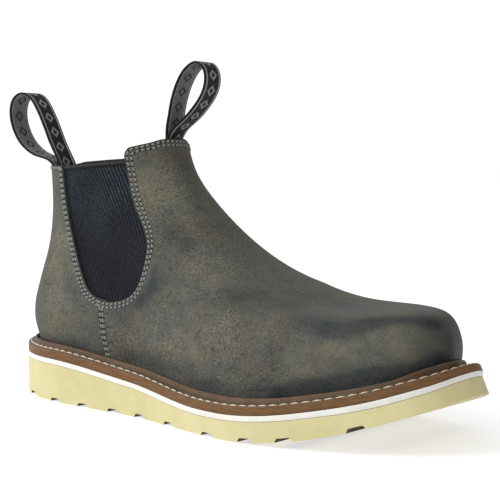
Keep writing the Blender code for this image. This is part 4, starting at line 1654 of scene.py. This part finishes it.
def make_gore(name, side, node):
    """An elastic panel behind the cut-out, with its ribs in the mesh and columns that run along them."""
    edge = gore_edge(GORE_LAP)
    across = np.array(RIB_ACROSS)
    down = np.array([across[1], -across[0]])
    first = (edge @ across).min() - RIB_PITCH
    last = (edge @ across).max() + RIB_PITCH
    count = int((last - first) / RIB_PITCH * RIB_STEPS)
    u = first + np.arange(count) * RIB_PITCH / RIB_STEPS
    v = np.linspace((edge @ down).max() + GORE_SPARE, (edge @ down).min() - GORE_SPARE, GORE_ALONG)
    if side > 0:
        u = u[::-1]
    flat = u[None, :, None] * across + v[:, None, None] * down
    rib = np.tile(0.5 + 0.5 * np.cos(2 * np.pi * u / RIB_PITCH), (GORE_ALONG, 1))
    depth = GORE_DEPTH + RIB_HEIGHT * (1 - rib)
    points, _ = on_wall(flat.reshape(-1, 2), side, depth.ravel())
    grid = points.reshape(GORE_ALONG, count, 3)
    shown = np.dstack([flat[..., 0], grid[..., 1], flat[..., 1]])
    snapped, distance = snap_to(edge, shown, np.full(rib.shape, side), depth)
    grid[distance == 0] = snapped[distance == 0]
    piece = sheet_of(name, grid)
    put_values(piece, "rib", rib.ravel())
    cut_away(piece, distance)
    give_wall(piece, GORE_THICK, 1)
    smooth(piece, 60)
    settle(piece, [ELASTIC], [node])


BINDING_FOLD = [
    # distance below the elastic's top edge, depth behind its face
    (0.0033, 0.0003),
    (0.0032, -0.0004),
    (0.0028, -0.0006),
    (0.0020, -0.0006),
    (0.0017, -0.0008),
    (0.0014, -0.0006),
    (0.0002, -0.0006),
    (-0.0004, 0.0000),
    (-0.0006, 0.0007),
    (-0.0004, 0.0015),
    (0.0002, 0.0020),
    (0.0030, 0.0020),
    (0.0033, 0.0013),
    (0.0033, 0.0003),
]

BINDING_HIGHLIGHT_ROW = (0.0017, -0.0008)


def make_binding(name, side):
    """Tape folded over the elastic's top edge, from under the back leather to under the front leather."""
    edge = gore_edge(BINDING_LAP)
    top = edge[0] + np.linspace(0, 1, BINDING_COLUMNS + 1)[:, None] * (edge[-1] - edge[0])
    rows = []
    for below, behind in BINDING_FOLD:
        rows.append(on_wall(top - (0, below), side, GORE_DEPTH + behind)[0])
    piece = sheet_of(name, np.array(rows))
    # The fold row that carries the painted highlight
    line = [float(row == BINDING_HIGHLIGHT_ROW) for row in BINDING_FOLD]
    put_values(piece, "line", np.repeat(line, len(top)))
    mend(piece)
    edit(piece, "DESELECT", "EDGE")
    bpy.ops.mesh.select_non_manifold()
    bpy.ops.mesh.edge_face_add()
    leave()
    mend(piece)
    smooth(piece, 50)
    settle(piece, [BINDING])


# Pull loops

WEBBING_COLUMNS = 16
WEBBING_STEP = 0.0008
WEBBING_SAMPLES = 600
WEBBING_ROUND = 0.00035


def make_pull_loop(name, rows, centre_y, turn, bow, sewn, faces, node):
    """Webbing laid along its middle line, turned and, where it is sewn, bowed to follow the collar."""
    path = evenly(curve_through(rows, WEBBING_SAMPLES), WEBBING_STEP)
    along = unit(np.gradient(path, axis=0))
    out = np.column_stack([-along[:, 1], along[:, 0]]) * WEBBING_THICK / 2
    offsets = np.linspace(-1, 1, WEBBING_COLUMNS + 1)
    held = np.clip((sewn[1] - path[:, 1]) / (sewn[1] - sewn[0]), 0, 1)
    x = (path[:, 0] + out[:, 0])[:, None] + bow * held[:, None] * offsets**2 - turn * offsets
    y = np.tile(centre_y + offsets * WEBBING_WIDTH / 2, (len(path), 1))
    z = np.tile((path[:, 1] + out[:, 1])[:, None], (1, len(offsets)))
    piece = sheet_of(name, np.dstack([x, y, z]))
    give_wall(piece, WEBBING_THICK, 2)
    round_cuts(piece, WEBBING_ROUND)
    settle(piece, faces, [node])


# Studio

FLOOR_SIZE = 12
KEY_PLACE = (-0.7, -1.1, 1.3)
KEY_TARGET = (0.0, 0.0, 0.05)
KEY_SIZE = 1.1
KEY_POWER = 20
BRIGHT_SIDE = (-0.8, -0.6, 0.0)
SKY_DIM = 0.36
SKY_BRIGHT = 1.32
SKY_SEEN = 1.05
CAMERA_PLACE = (0.62363, -0.54501, 0.14490)
CAMERA_HEADING = 40.1515
CAMERA_DOWN = 4.5938
CAMERA_ROLL = 0.2536
CAMERA_LENS = 96.57
CAMERA_SENSOR = 36


def make_floor():
    deselect()
    bpy.ops.mesh.primitive_grid_add(x_subdivisions=8, y_subdivisions=8, size=FLOOR_SIZE)
    floor = bpy.context.object
    floor.name = "studio_floor"
    floor.data.materials.append(studio_white())


def make_key_light():
    data = bpy.data.lights.new("key", "AREA")
    data.shape = "DISK"
    data.size = KEY_SIZE
    data.energy = KEY_POWER
    light = bring_in("key", data)
    light.location = KEY_PLACE
    direction = np.array(KEY_TARGET) - np.array(KEY_PLACE)
    light.rotation_euler = Vector(direction).to_track_quat("-Z", "Y").to_euler()


def make_studio():
    """Soft white light all round, brighter from the heel's side, with a large key light."""
    scene = bpy.context.scene
    world = bpy.data.worlds.new("studio")
    world.use_nodes = True
    tree = world.node_tree
    tree.nodes["Background"].inputs["Color"].default_value = (1.0, 1.0, 1.0, 1.0)
    place = tree.nodes.new("ShaderNodeTexCoord")
    towards = tree.nodes.new("ShaderNodeVectorMath")
    towards.operation = "DOT_PRODUCT"
    towards.inputs[1].default_value = BRIGHT_SIDE
    fall = tree.nodes.new("ShaderNodeMapRange")
    for socket, value in zip(list(fall.inputs)[1:5], (-1.0, 1.0, SKY_DIM, SKY_BRIGHT)):
        socket.default_value = value
    path = tree.nodes.new("ShaderNodeLightPath")
    seen = tree.nodes.new("ShaderNodeMix")
    seen.inputs["B"].default_value = SKY_SEEN
    tree.links.new(place.outputs["Generated"], towards.inputs[0])
    tree.links.new(towards.outputs["Value"], fall.inputs[0])
    tree.links.new(path.outputs["Is Camera Ray"], seen.inputs["Factor"])
    tree.links.new(fall.outputs[0], seen.inputs["A"])
    tree.links.new(seen.outputs[0], tree.nodes["Background"].inputs["Strength"])
    scene.world = world
    scene.view_settings.view_transform = "Standard"
    make_key_light()
    make_floor()


def make_camera():
    data = bpy.data.cameras.new("camera")
    data.sensor_width = CAMERA_SENSOR
    data.lens = CAMERA_LENS
    data.clip_start = 0.01
    camera = bring_in("camera", data)
    heading = Matrix.Rotation(np.radians(CAMERA_HEADING), 4, "Z")
    tilt = Matrix.Rotation(np.radians(90 - CAMERA_DOWN), 4, "X")
    roll = Matrix.Rotation(np.radians(CAMERA_ROLL), 4, "Z")
    camera.matrix_world = Matrix.Translation(np.array(CAMERA_PLACE) + SHIFT) @ heading @ tilt @ roll
    bpy.context.scene.camera = camera


make_camera()
make_studio()
make_outsole()
make_midsole()
make_welt()
make_welt_stitches()
make_footbed()
make_front_leather()
make_back_leather()
make_upper_stitches()
make_gore("gore_outer", -1, "gore_lateral")
make_gore("gore_inner", 1, "gore_medial")
make_binding("gore_binding_outer", -1)
make_binding("gore_binding_inner", 1)
make_pull_loop(
    "front_loop", FRONT_LOOP, FRONT_LOOP_Y, FRONT_LOOP_TURN, FRONT_LOOP_BOW, FRONT_LOOP_SEWN,
    [WEBBING, WEBBING_BACK], "pull_loop_front",
)
make_pull_loop(
    "back_loop", BACK_LOOP, BACK_LOOP_Y, BACK_LOOP_TURN, BACK_LOOP_BOW, BACK_LOOP_SEWN,
    [WEBBING_BACK, WEBBING], "pull_loop_back",
)
deselect()
